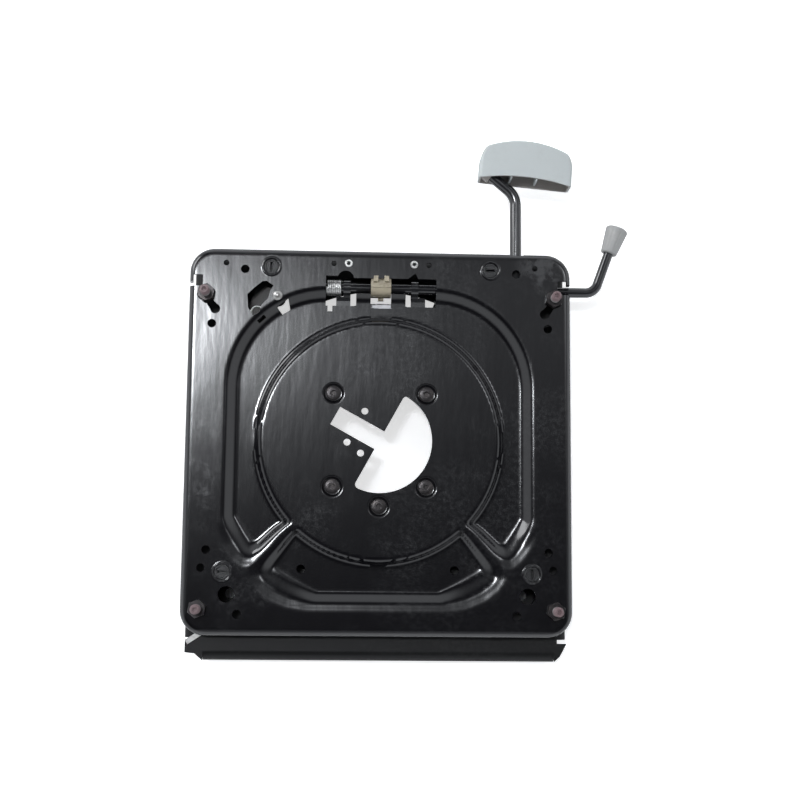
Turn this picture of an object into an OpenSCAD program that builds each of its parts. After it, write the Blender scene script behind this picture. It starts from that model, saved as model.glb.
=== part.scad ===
// Swivel seat base: a square pressed turntable on a pressed floor frame.
// Origin: on the swivel axis, in the plane the feet stand on. +Z up, +Y toward the release lever.

/* [Upper plate] */
// Side length of the square upper plate
plate_w = 400; // [390:1:410]
// Outer corner radius of the plate
plate_corner_r = 26; // [20:1:34]
// Sheet thickness of the plate
plate_t = 3; // [2.5:0.1:3.5]
// Height of the turned-down rim, from the top face
rim_h = 12; // [10:0.5:14]
// Outer radius of the rolled edge between top face and rim
rim_roll_r = 6; // [5:0.5:8]
// Depth of the pressed pockets
pocket_depth = 8; // [6:0.5:9]
// Radius of the raised centre disc at its top edge
disc_r = 122.5; // [119:0.5:124]
// Width of the sloped wall round the centre disc
disc_wall = 7.5; // [6:0.5:9]
// Half width of the big pocket at its top edge
pocket_half_w = 160; // [157:0.5:163]
// Width of the sloped outer wall of the pockets
pocket_wall = 13; // [11:0.5:14]
// Radius of the big pocket's upper corners at the top edge
pocket_corner_r = 105; // [98:1:110]

/* [Cable aperture] */
// Radius of the half-round cable aperture
aperture_r = 54.5; // [48:0.5:56]
// Width of the aperture's straight arm
aperture_arm_w = 21; // [16:0.5:26]
// Reach of the straight arm from the swivel axis
aperture_arm_l = 52.5; // [46:0.5:56]
// Corner radius of the half-round opening
aperture_corner_r = 4.5; // [2:0.5:6]
// Turn of the aperture about the swivel axis
aperture_turn = -28.7; // [-40:0.5:-20]

/* [Seat studs] */
// Half spacing of the seat studs across
stud_x = 182; // [180:0.5:183]
// Place of the front seat studs
stud_front_y = 151; // [149:0.5:152]
// Place of the rear seat studs
stud_rear_y = -173; // [-176:0.5:-170]
// Outer radius of a seat stud's thread
stud_r = 5; // [4:0.5:5]
// Radius of the stud's knurled shank, pressed into the plate
stud_shank_r = 5.4; // [5.3:0.05:5.6]
// Height of a stud above the plate
stud_h = 23; // [18:0.5:30]
// Width across flats of a seat nut
seat_nut_af = 16.5; // [15:0.5:18]
// Thickness of a seat nut
seat_nut_t = 8; // [6:0.5:10]

/* [Floor frame] */
// Width of the floor frame
base_w = 394; // [388:1:398]
// Reach of the frame toward the front
base_front = 197; // [192:1:199]
// Reach of the frame toward the rear
base_rear = 226; // [222:1:230]
// Height of the frame's top face above the floor
base_h = 26; // [24:0.5:30]
// Sheet thickness of the frame
base_t = 3; // [2.5:0.1:3.5]
// Outer bend radius of the turned-down flanges
flange_r = 10; // [8:0.5:12]
// Radius of the centre bore
base_bore_r = 80.3; // [79:0.1:82]
// Mean radius of the pressed stiffening groove
groove_r = 164; // [162:1:166]
// Width of the groove's floor
groove_floor_w = 21; // [16:1:23]
// Depth of the groove
groove_depth = 8; // [5:0.5:10]
// Half spacing of the floor bolts across
bolt_x = 153.5; // [150:0.5:156]
// Half spacing of the floor bolts front to rear
bolt_y = 158.5; // [155:0.5:161]
// Radius of a floor bolt hole
bolt_hole_r = 5.25; // [4:0.05:6]
// Radius of a foot where it stands on the floor
foot_r = 16; // [14:0.5:18]
// Radius of a foot cup at the frame's top face
foot_top_r = 22; // [20:0.5:23]

/* [Swivel bearing] */
// Outer radius of the lock ring
lock_ring_r = 146; // [144:0.5:147]
// Inner radius of the lock ring
lock_ring_bore_r = 84; // [82:0.5:88]
// Thickness of the lock ring
lock_ring_t = 5; // [4:0.5:6]
// Mean radius of the ball track
track_r = 101; // [99:0.5:103]
// Width of the bearing races
race_w = 22; // [18:1:24]
// Thickness of one race
race_t = 5; // [4:0.5:6]
// Diameter of the balls
ball_d = 8; // [7:0.5:9]
// Depth of the ball track in each race
track_depth = 1.5; // [1:0.1:2]
// Number of balls
ball_count = 24; // [12:1:30]
// Thickness of the ball cage
cage_t = 3; // [2:0.5:4]
// Outer radius of the hub ring
hub_r = 79.5; // [78:0.1:80]
// Bore radius of the hub ring
hub_bore_r = 58; // [57:0.5:59]
// Outer radius of the retaining ring
retainer_r = 98; // [94:0.5:102]
// Thickness of the retaining ring
retainer_t = 5; // [4:0.5:6]
// Thickness of the slide washer
washer_t = 2.7; // [2:0.1:3]

/* [Hub screws] */
// Radius of the circle of hub screws
screw_pitch_r = 68.2; // [67.5:0.1:69.5]
// Shank radius of a hub screw
screw_r = 4; // [3:0.5:4.5]
// Head radius of a hub screw
screw_head_r = 7.7; // [7:0.1:8]
// Head height of a hub screw
screw_head_h = 3.4; // [3:0.1:4]
// Depth of the dimple round each hub screw
dimple_depth = 1.6; // [1:0.1:2]
// Top radius of the dimple
dimple_r = 11.2; // [10.5:0.1:11.5]
// Width across flats of a hub nut
hub_nut_af = 13; // [12:0.5:14]

/* [Release lever] */
// Radius of the release shaft
shaft_r = 5.2; // [4.6:0.1:5.4]
// Place of the release shaft in front of the swivel axis
shaft_y = 162; // [161:0.5:163]
// Depth of the shaft's axis below the plate
shaft_drop = 10.5; // [10:0.5:11]
// Left end of the release shaft
shaft_left = -70; // [-75:1:-68]
// Place of the shaft's bend outside the plate
shaft_bend_x = 227.7; // [224:0.5:232]
// Bend radius of the side lever at its centre line
shaft_bend_r = 14; // [10:0.5:16]
// Turn of the side lever's bend
shaft_bend_turn = 70; // [60:1:80]
// Length of the side lever after its bend, up to the knob
lever_reach = 36.3; // [30:0.5:45]
// Length of the side lever's knob
knob_l = 29; // [25:0.5:35]
// Radius of the knob's narrow end
knob_r1 = 8.5; // [8:0.1:10]
// Radius of the knob's wide end
knob_r2 = 11.9; // [10:0.1:13]
// Place of the lock fingers' middle across
finger_x = 39.5; // [38:0.5:41]
// Width of a lock finger's toe
finger_w = 15; // [12:0.5:16]
// Place of the toe's tip in front of the swivel axis
toe_y = 134; // [132:0.5:136]
// Turn of the lever from released to locked
lock_turn = 7.5; // [6:0.5:8]
// Place of the paddle's tube across
tube_x = 143.4; // [141:0.5:146]
// Radius of the paddle's tube
tube_r = 6; // [5:0.1:6.4]
// Bend radius of the paddle's tube at its centre line
tube_bend_r = 22; // [16:0.5:26]
// Turn of the tube's bend
tube_bend_turn = 50; // [45:1:55]
// Place where the tube's bend begins
tube_bend_y = 256; // [250:1:262]
// Length of the tube past its bend
tube_tail_l = 27; // [24:0.5:30]

/* [Paddle] */
// Width of the paddle
paddle_w = 99; // [94:0.5:104]
// Depth of the paddle from its mouth to its back
paddle_d = 45; // [42:0.5:48]
// Height of the paddle
paddle_h = 25; // [24:0.5:26]
// Wall of the paddle
paddle_wall = 2.5; // [2:0.1:3]
// Radius of the paddle's back corners
paddle_corner_r = 26; // [22:0.5:30]
// Turn of the paddle about the vertical
paddle_turn = -5; // [-8:0.5:-2]

/* [Lock window] */
// Half width of the lock window
window_half_w = 58; // [56:0.5:59]
// Upper edge of the window behind the shaft
window_top_y = 170.5; // [169.5:0.5:171]
// Lower edge of the window's finger bays
window_low_y = 142; // [141:0.5:143]
// Inner edge of the two tongues beside the middle bay
tongue_in_x = 10.8; // [10.5:0.1:11.5]
// Outer edge of the two tongues
tongue_out_x = 26; // [24:0.5:28]
// End of the tongues
tongue_end_y = 154.5; // [150:0.5:155]

/* [Detent] */
// Place of the detent rivet across
detent_x = -108.4; // [-109:0.1:-108]
// Place of the detent rivet in front of the swivel axis
detent_y = 150.5; // [150:0.1:151]
// Radius of the detent rivet's shank
detent_pin_r = 4; // [3.5:0.1:4.4]
// Thickness of the detent pawl
pawl_t = 3.6; // [3:0.1:4]
// Turn of the pawl from its rest to the bottom of the notch
pawl_turn = 3.5; // [2:0.5:4]

/* [Clearances] */
// Gap between parts that turn past each other
run_gap = 0.3; // [0.2:0.05:0.5]
// Gap between a pin and its bore
pin_gap = 0.05; // [0.03:0.01:0.1]
// Gap between a screw and its hole
screw_gap = 0.25; // [0.1:0.05:0.5]

/* [Hidden] */

$fn = 72;
eps = 0.01;

black = [0.13, 0.13, 0.14];
zinc = [0.72, 0.72, 0.70];
steel = [0.55, 0.55, 0.56];
nylon = [0.80, 0.77, 0.68];
paddle_grey = [0.62, 0.68, 0.70];
knob_grey = [0.42, 0.43, 0.45];

// Heights, from the floor up
ring_top = base_h + lock_ring_t;
lower_race_top = ring_top + race_t;
ball_r = ball_d / 2;
ball_z = lower_race_top + ball_r - track_depth;
upper_race_low = ball_z + ball_r - track_depth;
plate_under = upper_race_low + race_t;
plate_top = plate_under + plate_t;
rim_low = plate_top - rim_h;
pan_under = plate_under - pocket_depth;
pan_top = plate_top - pocket_depth;
shaft_z = plate_under - shaft_drop;
retainer_top = base_h - base_t - run_gap - washer_t;
retainer_low = retainer_top - retainer_t;

// Screws stand at the four diagonals and one at the rear
screw_angles = [45, 135, 225, 270, 315];
dimple_floor_r = screw_head_r + 0.8;
hub_nut_t = 6.5;

// Plain holes in the outer zone: [x, y, radius]
mirrored_holes = [
    [142.3, 177.7, 4.5], [162, 184, 3], [175.5, 119.5, 4.5], [49.9, 185.5, 2.8],
    [175, -113.8, 4.3], [179.8, -132, 4.2], [142.1, -178.4, 4.5]
];
access_hole_r = 8.2;
pan_drain = [78.7, -132.6, 4.5];
small_holes = [[-15.4, 30.1], [-33.5, -2.4], [-19.4, -13.5]];
small_hole_r = 3.6;
eyelet_x = 34.5;
eyelet_y = 186;
eyelet_r = 4.2;
eyelet_bore_r = 2.2;
eyelet_hole_r = 3.1;

// Glide pads: [x, y, turn of the slot]
pads = [[-115, 181, 90], [115, 181, 0], [-158, -136, 0], [158, -136, 90]];
pad_r = 9;
pad_stem_r = 7.6;
pad_collar_r = 10;
pad_collar_h = 0.8;
pad_button_h = 0.6;

// Corner features
corner_cut_x = 186;
corner_cut_high = 171;
corner_strip_w = 3.5;
// Threads meet at the pitch radius inside the nut
stud_pitch_r = stud_r - 0.5;
stud_slot_w = 7;
stud_head_r = 7.5;
stud_head_t = 1.4;

// Lock fingers
finger_boss_r = 8.4;
finger_boss_w = 7.5;
toe_low = ring_top + 0.6;
toe_top = pan_under - 1.2;
notch_gap = 1.3;
notch_y = toe_y - 0.6;

// Springs
lock_spring_wire = 1.9;
lock_spring_turns = 8;
lock_spring_left = -58.2;
lock_spring_r = 7.75;
detent_spring_wire = 2;
detent_spring_turns = 4;
detent_spring_r = 6.4;

// Detent pawl
pawl_low = base_h + 2.2;
pawl_top = pawl_low + pawl_t;
post_x = -129.5;
post_y = 133.5;
nose = [-106, 101];

// Paddle frame: middle of its mouth
paddle_x = 152.5;
paddle_y = 279.5;
tube_end_x = tube_x - tube_bend_r + tube_bend_r * cos(tube_bend_turn) - tube_tail_l * sin(tube_bend_turn);
tube_end_y = tube_bend_y + tube_bend_r * sin(tube_bend_turn) + tube_tail_l * cos(tube_bend_turn);
tube_end = [tube_end_x, tube_end_y, shaft_z];
tube_along = [-sin(tube_bend_turn), cos(tube_bend_turn), 0];
socket_r = 8.6;
socket_l = 17;

// Side lever after its bend
bend_tangent = shaft_bend_r * tan(shaft_bend_turn / 2);
bend_start_x = shaft_bend_x - bend_tangent;
bend_end_x = bend_start_x + shaft_bend_r * sin(shaft_bend_turn);
bend_end_y = shaft_y + shaft_bend_r * (1 - cos(shaft_bend_turn));
knob_socket = 22;
// The lever's tail past the bend is swaged a little thinner
tail_r = shaft_r - 0.15;
tube_tail_r = tube_r - 0.15;

function lerp(a, b, t) = a + (b - a) * t;
function mirror_x(list) = [for (i = [len(list) - 1:-1:0]) [-list[i].x, list[i].y]];
function arc(cx, cy, r, a0, a1, n) =
    [for (i = [0:n]) [cx + r * cos(lerp(a0, a1, i / n)), cy + r * sin(lerp(a0, a1, i / n))]];
function blend(from, to, t) = [for (i = [0:len(from) - 1]) lerp(from[i], to[i], t)];

// Outline of the big pocket at a wall share e: 0 is its top edge, 1 its floor edge
function big_pocket_outer(e) =
    let (w = pocket_half_w - pocket_wall * e, r = pocket_corner_r - pocket_wall * e)
    concat([[w, -80 + e]], arc(w - r, w - r, r, 0, 90, 8));
function big_pocket_end(e) = blend(
    [[157.5, -93], [151, -107], [143, -118], [135, -123.5], [127, -122.5], [97, -91]],
    [[142.5, -85], [137.5, -92], [132.5, -98.8], [128, -105.4], [124.5, -105], [108, -90.5]], e);
function big_pocket(e) =
    let (right = big_pocket_outer(e), end = big_pocket_end(e), flip = [for (i = [len(end) - 1:-1:0]) end[i]])
    concat(right, mirror_x(right), [for (p = end) [-p.x, p.y]], [[-60, -60], [60, -60]], flip);

// Outline of the rear pocket, from its rear edge round to the disc
function rear_pocket_side(e) = blend(
    [[-72, -167], [72, -167], [91, -164], [107, -157.5], [119, -148.5], [125.5, -139], [122, -130], [93, -99.5]],
    [[-62, -155.7], [62, -155.7], [77, -147], [92, -138], [105.5, -130], [104, -126.5], [101, -122],
     [91.5, -107.5]], e);
function rear_pocket(e) =
    let (side = rear_pocket_side(e), right = [for (i = [1:len(side) - 1]) side[i]])
    concat([side[0]], right, [[76, -84], [-76, -84]], [for (i = [len(right) - 1:-1:1]) [-right[i].x, right[i].y]]);

// Pocket body: walls slope from the top edge to the floor, and a cone rounds the centre disc
module pan(kind, face_z, start_z) {
    function outline(e) = kind == "big" ? big_pocket(e) : rear_pocket(e);
    rings = [[0, start_z], [0, face_z], [1, face_z - pocket_depth]];
    n = len(outline(0));
    m = len(rings);
    middle_y = kind == "big" ? 60 : -120;
    points = concat([for (r = rings) for (p = outline(r[0])) [p.x, p.y, r[1]]],
        [[0, middle_y, start_z], [0, middle_y, face_z - pocket_depth]]);
    faces = concat(
        [for (i = [0:n - 1]) [m * n, (i + 1) % n, i]],
        [for (k = [0:m - 2]) for (i = [0:n - 1]) each [
            [k * n + i, k * n + (i + 1) % n, (k + 1) * n + i],
            [k * n + (i + 1) % n, (k + 1) * n + (i + 1) % n, (k + 1) * n + i]
        ]],
        [for (i = [0:n - 1]) [m * n + 1, (m - 1) * n + i, (m - 1) * n + (i + 1) % n]]
    );
    difference() {
        polyhedron(points = points, faces = faces, convexity = 6);
        rotate_extrude() polygon([
            [0, face_z - pocket_depth - 1], [disc_r + disc_wall * (1 + 1 / pocket_depth), face_z - pocket_depth - 1],
            [disc_r, face_z], [disc_r, start_z + 1], [0, start_z + 1]
        ]);
    }
}

module ring(r_out, r_in, low, top) {
    difference() {
        translate([0, 0, low]) cylinder(h = top - low, r = r_out);
        translate([0, 0, low - 1]) cylinder(h = top - low + 2, r = r_in);
    }
}

module hexagon(af, h) {
    cylinder(h = h, r = af / 2 / cos(30), $fn = 6);
}

module screw_places() {
    for (a = screw_angles) rotate([0, 0, a]) translate([screw_pitch_r, 0, 0]) children();
}

module stud_places() {
    for (x = [-stud_x, stud_x]) for (y = [stud_front_y, stud_rear_y]) translate([x, y, 0]) children();
}

module bolt_places() {
    for (x = [-bolt_x, bolt_x]) for (y = [-bolt_y, bolt_y]) translate([x, y, 0]) children();
}

module rod(from, to, r) {
    d = to - from;
    length = norm(d);
    translate(from) rotate([0, acos(d.z / length), atan2(d.y, d.x)]) cylinder(h = length, r = r);
}

module rounded_rect(w, r) {
    square([w - 2 * r, w], center = true);
    square([w, w - 2 * r], center = true);
    for (x = [-1, 1]) for (y = [-1, 1]) translate([x * (w / 2 - r), y * (w / 2 - r)]) circle(r);
}

// Section of a rolled edge and its leg: the bend's centre is at the origin
module roll_section(r, t, leg) {
    difference() {
        circle(r);
        circle(r - t);
        translate([-2 * r, -r - 1]) square([2 * r, 2 * r + 2]);
        translate([-1, -2 * r]) square([2 * r, 2 * r]);
    }
    translate([r - t, -leg]) square([t, leg]);
    translate([-2, r - t]) square([2, t]);
}

module side_roll(length, r, t, leg) {
    rotate([90, 0, 0]) linear_extrude(height = length, center = true) roll_section(r, t, leg);
}

module lock_window_2d() {
    difference() {
        union() {
            translate([-window_half_w, window_low_y])
                square([2 * window_half_w, window_top_y - window_low_y]);
            translate([-tongue_in_x, window_low_y - 2]) square([2 * tongue_in_x, 10]);
            translate([-window_half_w, window_top_y - 2]) square([19, 4]);
            translate([-37.2, window_top_y - 1]) circle(8.6);
            polygon([[27, window_top_y - 1], [36, window_top_y + 6], [39, window_top_y - 1]]);
            translate([-56, window_low_y - 6]) square([5, 8]);
        }
        for (s = [-1, 1]) translate([s > 0 ? tongue_in_x : -tongue_out_x, window_low_y - 1])
            square([tongue_out_x - tongue_in_x, tongue_end_y - window_low_y + 1]);
    }
}

module detent_window_2d() {
    polygon([
        [-139.5, 151], [-132.5, 158], [-124, 165], [-120, 165.5], [-112.5, 161], [-116, 154.5],
        [-118, 147], [-125, 139.5], [-126.5, 132], [-133, 128], [-138.5, 137]
    ]);
    polygon([[-97, 148], [-95, 136.5], [-103, 131.5], [-108.5, 138.5]]);
    polygon([[-129, 123.5], [-126.5, 121], [-119.5, 127.5], [-122, 130]]);
}

module stud_slot_2d() {
    translate([stud_x - 6.5, stud_front_y - 12]) rotate([0, 0, 52]) union() {
        square([14, stud_slot_w], center = true);
        for (s = [-1, 1]) translate([s * 7, 0]) circle(stud_slot_w / 2);
        translate([-5, 0]) circle(5.2);
    }
}

module aperture_2d() {
    corner_y = sqrt(pow(aperture_r - aperture_corner_r, 2) - pow(aperture_corner_r, 2));
    rotate([0, 0, aperture_turn]) {
        difference() {
            circle(aperture_r);
            translate([-2 * aperture_r, -2 * aperture_r]) square([2 * aperture_r, 4 * aperture_r]);
            for (s = [-1, 1]) translate([-1, s > 0 ? corner_y : -corner_y - 10])
                square([aperture_corner_r + 1, 10]);
        }
        for (s = [-1, 1]) translate([aperture_corner_r, s * corner_y]) circle(aperture_corner_r);
        translate([-aperture_arm_l, -aperture_arm_w / 2]) square([aperture_arm_l + 5, aperture_arm_w]);
    }
}

module plate_holes_2d() {
    for (s = [-1, 1]) for (h = mirrored_holes) translate([s * h[0], h[1]]) circle(h[2]);
    for (s = [-1, 1]) translate([s * bolt_x, -bolt_y]) circle(access_hole_r);
    for (s = [-1, 1]) translate([s * pan_drain[0], pan_drain[1]]) circle(pan_drain[2]);
    for (s = [-1, 1]) translate([s * eyelet_x, eyelet_y]) circle(eyelet_hole_r);
    for (h = small_holes) translate(h) circle(small_hole_r);
    for (p = pads) translate([p[0], p[1]]) circle(pad_stem_r + pin_gap);
    for (s = [-1, 1]) mirror([s < 0 ? 1 : 0, 0]) stud_slot_2d();
    translate([detent_x, detent_y]) circle(detent_pin_r + eps);
    stud_places() circle(stud_shank_r + eps);
    lock_window_2d();
    detent_window_2d();
    aperture_2d();
}

// Corner window inside the rim, with a cut of its own through the rim from low to high
module corner_cut(low, high) {
    translate([corner_cut_x, low, rim_low - 1])
        cube([plate_w / 2 - corner_cut_x - corner_strip_w, corner_cut_high - low, rim_h + 3]);
    translate([corner_cut_x, low, rim_low - 1]) cube([20, high - low, rim_h + 3]);
}

module upper_plate() {
    inner_w = plate_w - 2 * rim_roll_r;
    roll_z = plate_top - rim_roll_r;
    side = plate_w - 2 * plate_corner_r;
    color(black) difference() {
        union() {
            translate([0, 0, plate_under]) linear_extrude(height = plate_t)
                rounded_rect(inner_w, plate_corner_r - rim_roll_r);
            for (a = [0:90:270]) rotate([0, 0, a]) {
                translate([inner_w / 2, 0, roll_z])
                    side_roll(side, rim_roll_r, plate_t, roll_z - rim_low);
                translate([side / 2, side / 2, roll_z]) rotate_extrude(angle = 90)
                    translate([plate_corner_r - rim_roll_r, 0])
                        roll_section(rim_roll_r, plate_t, roll_z - rim_low);
            }
            pan("big", plate_under, plate_top - 1);
            pan("rear", plate_under, plate_top - 1);
            screw_places() translate([0, 0, plate_under - dimple_depth])
                cylinder(h = dimple_depth + 1, r1 = dimple_floor_r + 2, r2 = dimple_r + 2);
            for (p = pads) translate([p[0], p[1], plate_top]) rotate_extrude()
                translate([pad_stem_r + 1.5, -0.1]) circle(pad_collar_h + 0.1);
        }
        pan("big", plate_top, plate_top + 2);
        pan("rear", plate_top, plate_top + 2);
        screw_places() {
            translate([0, 0, plate_top - dimple_depth])
                cylinder(h = dimple_depth + 0.001, r1 = dimple_floor_r, r2 = dimple_r);
            translate([0, 0, plate_under - 5]) cylinder(h = 10, r = screw_r + screw_gap);
        }
        translate([0, 0, pan_under - 1]) linear_extrude(height = plate_top - pan_under + 3) plate_holes_2d();
        corner_cut(shaft_y - shaft_r - 0.4, shaft_y + shaft_r + 0.4);
        mirror([1, 0, 0]) corner_cut(shaft_y - 3, shaft_y + 2);
        translate([tube_x - tube_r - 1.5, plate_w / 2 - 8, rim_low - 1])
            cube([2 * tube_r + 3, 12, rim_h + 1 - 1.8]);
    }
}

module groove_section() {
    half = groove_floor_w / 2;
    top = base_h;
    low = base_h - groove_depth;
    polygon([
        [-half - 5, top], [-half - 5, top - base_t], [-half - 1.2, low - base_t], [half + 1.2, low - base_t],
        [half + 5, top - base_t], [half + 5, top], [half + 3.6, top], [half, low], [-half, low], [-half - 3.6, top]
    ]);
}

// Pie slice from angle a0 to a1, as a flat shape out to radius r
module slice_2d(r, a0, a1) {
    polygon(concat([[0, 0]], [for (i = [0:6]) let (a = lerp(a0, a1, i / 6)) [r * cos(a), r * sin(a)]]));
}

module arc_opening_2d(r_in, r_out, a0, a1) {
    intersection() {
        difference() {
            circle(r_out);
            circle(r_in);
        }
        slice_2d(2 * r_out, a0, a1);
    }
}

module base_frame() {
    side_x = base_w / 2;
    flat_x = side_x - flange_r;
    bend_z = base_h - flange_r;
    rear_y = -base_rear;
    color(black) difference() {
        union() {
            translate([0, 0, base_h - base_t]) linear_extrude(height = base_t) difference() {
                polygon([
                    [flat_x, base_front - 16], [side_x - 4, base_front - 16], [side_x - 15, base_front - 4],
                    [side_x - 15, base_front - flange_r], [-side_x + 15, base_front - flange_r],
                    [-side_x + 15, base_front - 4], [-side_x + 4, base_front - 16], [-flat_x, base_front - 16],
                    [-flat_x, rear_y + 21], [-side_x + 1, rear_y + 21], [-side_x + 1, rear_y + 8],
                    [-side_x + 11, rear_y + 7], [-side_x + 19, rear_y], [-side_x + 19, rear_y + flange_r],
                    [side_x - 13, rear_y + flange_r], [side_x - 13, rear_y + 0.5], [side_x - 7, rear_y + 6],
                    [side_x, rear_y + 19], [flat_x, rear_y + 19]
                ]);
                circle(base_bore_r);
                difference() {
                    circle(groove_r + groove_floor_w / 2 + 4);
                    circle(groove_r - groove_floor_w / 2 - 4);
                }
                bolt_places() circle(foot_top_r - 2);
            }
            rotate_extrude() translate([groove_r, 0]) groove_section();
            for (s = [-1, 1]) mirror([s < 0 ? 1 : 0, 0, 0])
                translate([flat_x, (base_front - 18 + rear_y + 23) / 2, bend_z])
                    side_roll(base_front + base_rear - 41, flange_r, base_t, bend_z);
            translate([0, base_front - flange_r, bend_z]) rotate([0, 0, 90])
                side_roll(base_w - 34, flange_r, base_t, bend_z);
            translate([3, rear_y + flange_r, bend_z]) rotate([0, 0, -90])
                side_roll(base_w - 32, flange_r, base_t, bend_z);
            bolt_places() difference() {
                cylinder(h = base_h, r1 = foot_r, r2 = foot_top_r);
                translate([0, 0, base_t]) cylinder(h = base_h - base_t + eps, r1 = foot_r - 2.6, r2 = foot_top_r - 2.6);
            }
        }
        bolt_places() translate([0, 0, -1]) cylinder(h = base_t + 2, r = bolt_hole_r);
        translate([0, 0, -1]) linear_extrude(height = base_h + 2) {
            for (a = [90, 270]) arc_opening_2d(lock_ring_r + 2, groove_r - 1, a - 21, a + 24);
            for (a = [-51, 129]) arc_opening_2d(groove_r - 1, groove_r + 18, a - 9, a + 9);
        }
    }
}

module notch_boxes() {
    low = finger_x - finger_w / 2 - notch_gap;
    for (a = [0, 180]) rotate([0, 0, a]) for (s = [-1, 1])
        translate([s > 0 ? low : -low - finger_w - 2 * notch_gap, notch_y, base_h - 1])
            cube([finger_w + 2 * notch_gap, 30, lock_ring_t + 2]);
}

module lock_ring() {
    color(steel) difference() {
        ring(lock_ring_r, lock_ring_bore_r, base_h, ring_top);
        notch_boxes();
        for (a = [0, 180]) rotate([0, 0, a]) translate([nose.x, nose.y, base_h - 1])
            rotate([0, 0, atan2(nose.y, nose.x)]) translate([-3, -7, 0]) linear_extrude(height = lock_ring_t + 2)
                polygon([[-1, 5], [-1, 9], [8, 16], [8, -2]]);
        rivet_places() translate([0, 0, base_h - 1]) cylinder(h = lock_ring_t + 2, r = 3 + eps);
    }
}

module rivet_places() {
    for (a = [30:60:330]) rotate([0, 0, a]) translate([track_r + race_w / 2 + 11, 0, 0]) children();
}

module ring_rivets() {
    color(zinc) rivet_places() {
        translate([0, 0, ring_top]) intersection() {
            cylinder(h = 2, r = 5.5);
            translate([0, 0, -6]) sphere(r = 8);
        }
        translate([0, 0, base_h]) cylinder(h = lock_ring_t, r = 3);
    }
}

module race(low) {
    difference() {
        ring(track_r + race_w / 2, track_r - race_w / 2, low, low + race_t);
        rotate_extrude() translate([track_r, ball_z]) circle(ball_r + pin_gap);
    }
}

module lower_race() {
    color(steel) race(ring_top);
}

module upper_race() {
    color(steel) race(upper_race_low);
}

module ball_places() {
    for (i = [0:ball_count - 1]) rotate([0, 0, i * 360 / ball_count]) translate([track_r, 0, ball_z]) children();
}

module ball_cage() {
    color(nylon) difference() {
        ring(track_r + race_w / 2 - 4, track_r - race_w / 2 + 4, ball_z - cage_t / 2, ball_z + cage_t / 2);
        ball_places() translate([0, 0, -cage_t]) cylinder(h = 2 * cage_t, r = ball_r + run_gap);
    }
}

module bearing_balls() {
    color(zinc) ball_places() sphere(r = ball_r);
}

module hub_ring() {
    color(steel) difference() {
        ring(hub_r, hub_bore_r, retainer_top, plate_under);
        screw_places() {
            translate([0, 0, retainer_top - 1])
                cylinder(h = plate_under - retainer_top + 2, r = screw_r + screw_gap);
            translate([0, 0, plate_under - dimple_depth])
                cylinder(h = dimple_depth + eps, r1 = dimple_floor_r + 2, r2 = dimple_r + 2);
        }
    }
}

module slide_washer() {
    color(nylon) ring(retainer_r - 1, hub_r + run_gap, retainer_top, retainer_top + washer_t);
}

module retaining_ring() {
    color(steel) difference() {
        ring(retainer_r, hub_bore_r, retainer_low, retainer_top);
        screw_places() translate([0, 0, retainer_low - 1]) cylinder(h = retainer_t + 2, r = screw_r + screw_gap);
    }
}

module hub_screws() {
    head_z = plate_top - dimple_depth;
    color(black) screw_places() difference() {
        union() {
            translate([0, 0, retainer_low - hub_nut_t - 1])
                cylinder(h = head_z - retainer_low + hub_nut_t + 1, r = screw_r);
            translate([0, 0, head_z]) cylinder(h = screw_head_h - 1, r = screw_head_r);
            translate([0, 0, head_z + screw_head_h - 1])
                cylinder(h = 1, r1 = screw_head_r, r2 = screw_head_r - 1);
        }
        translate([0, 0, head_z + 0.8]) hexagon(5, screw_head_h);
    }
}

module hub_nuts() {
    color(zinc) screw_places() difference() {
        translate([0, 0, retainer_low - hub_nut_t]) hexagon(hub_nut_af, hub_nut_t);
        translate([0, 0, retainer_low - hub_nut_t - 1]) cylinder(h = hub_nut_t + 2, r = screw_r);
    }
}

module seat_studs() {
    color(zinc) stud_places() difference() {
        union() {
            translate([0, 0, plate_under - stud_head_t]) cylinder(h = stud_head_t, r = stud_head_r);
            translate([0, 0, plate_under - stud_head_t]) cylinder(h = plate_t + stud_head_t, r = stud_shank_r);
            translate([0, 0, plate_under]) cylinder(h = plate_t + seat_nut_t + 1, r = stud_pitch_r);
            translate([0, 0, plate_top + seat_nut_t]) cylinder(h = stud_h - seat_nut_t - 1, r = stud_r);
            translate([0, 0, plate_top + stud_h - 1]) cylinder(h = 1, r1 = stud_r, r2 = stud_r - 1);
        }
        translate([0, 0, plate_top + stud_h - 1.6]) cylinder(h = 2, r1 = 0.4, r2 = 2);
    }
}

module seat_nuts() {
    color(black) stud_places() difference() {
        intersection() {
            translate([0, 0, plate_top]) rotate([0, 0, 20]) hexagon(seat_nut_af, seat_nut_t);
            translate([0, 0, plate_top - 0.6 * seat_nut_t])
                cylinder(h = 1.6 * seat_nut_t, r1 = 1.05 * seat_nut_af, r2 = 0.52 * seat_nut_af);
        }
        translate([0, 0, plate_top - 1]) cylinder(h = seat_nut_t + 2, r = stud_pitch_r);
    }
}

module glide_pads() {
    color(nylon) for (p = pads) translate([p[0], p[1], 0]) difference() {
        union() {
            translate([0, 0, base_h + run_gap]) cylinder(h = 1.5, r1 = pad_r - 1.5, r2 = pad_r);
            translate([0, 0, base_h + run_gap + 1.5])
                cylinder(h = plate_under - base_h - run_gap - 1.5, r = pad_r);
            translate([0, 0, plate_under - 1]) cylinder(h = plate_t + pad_button_h + 1, r = pad_stem_r);
        }
        rotate([0, 0, p[2]]) translate([-5, -0.9, plate_top + pad_button_h - 2.2]) cube([10, 1.8, 3]);
    }
}

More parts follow.
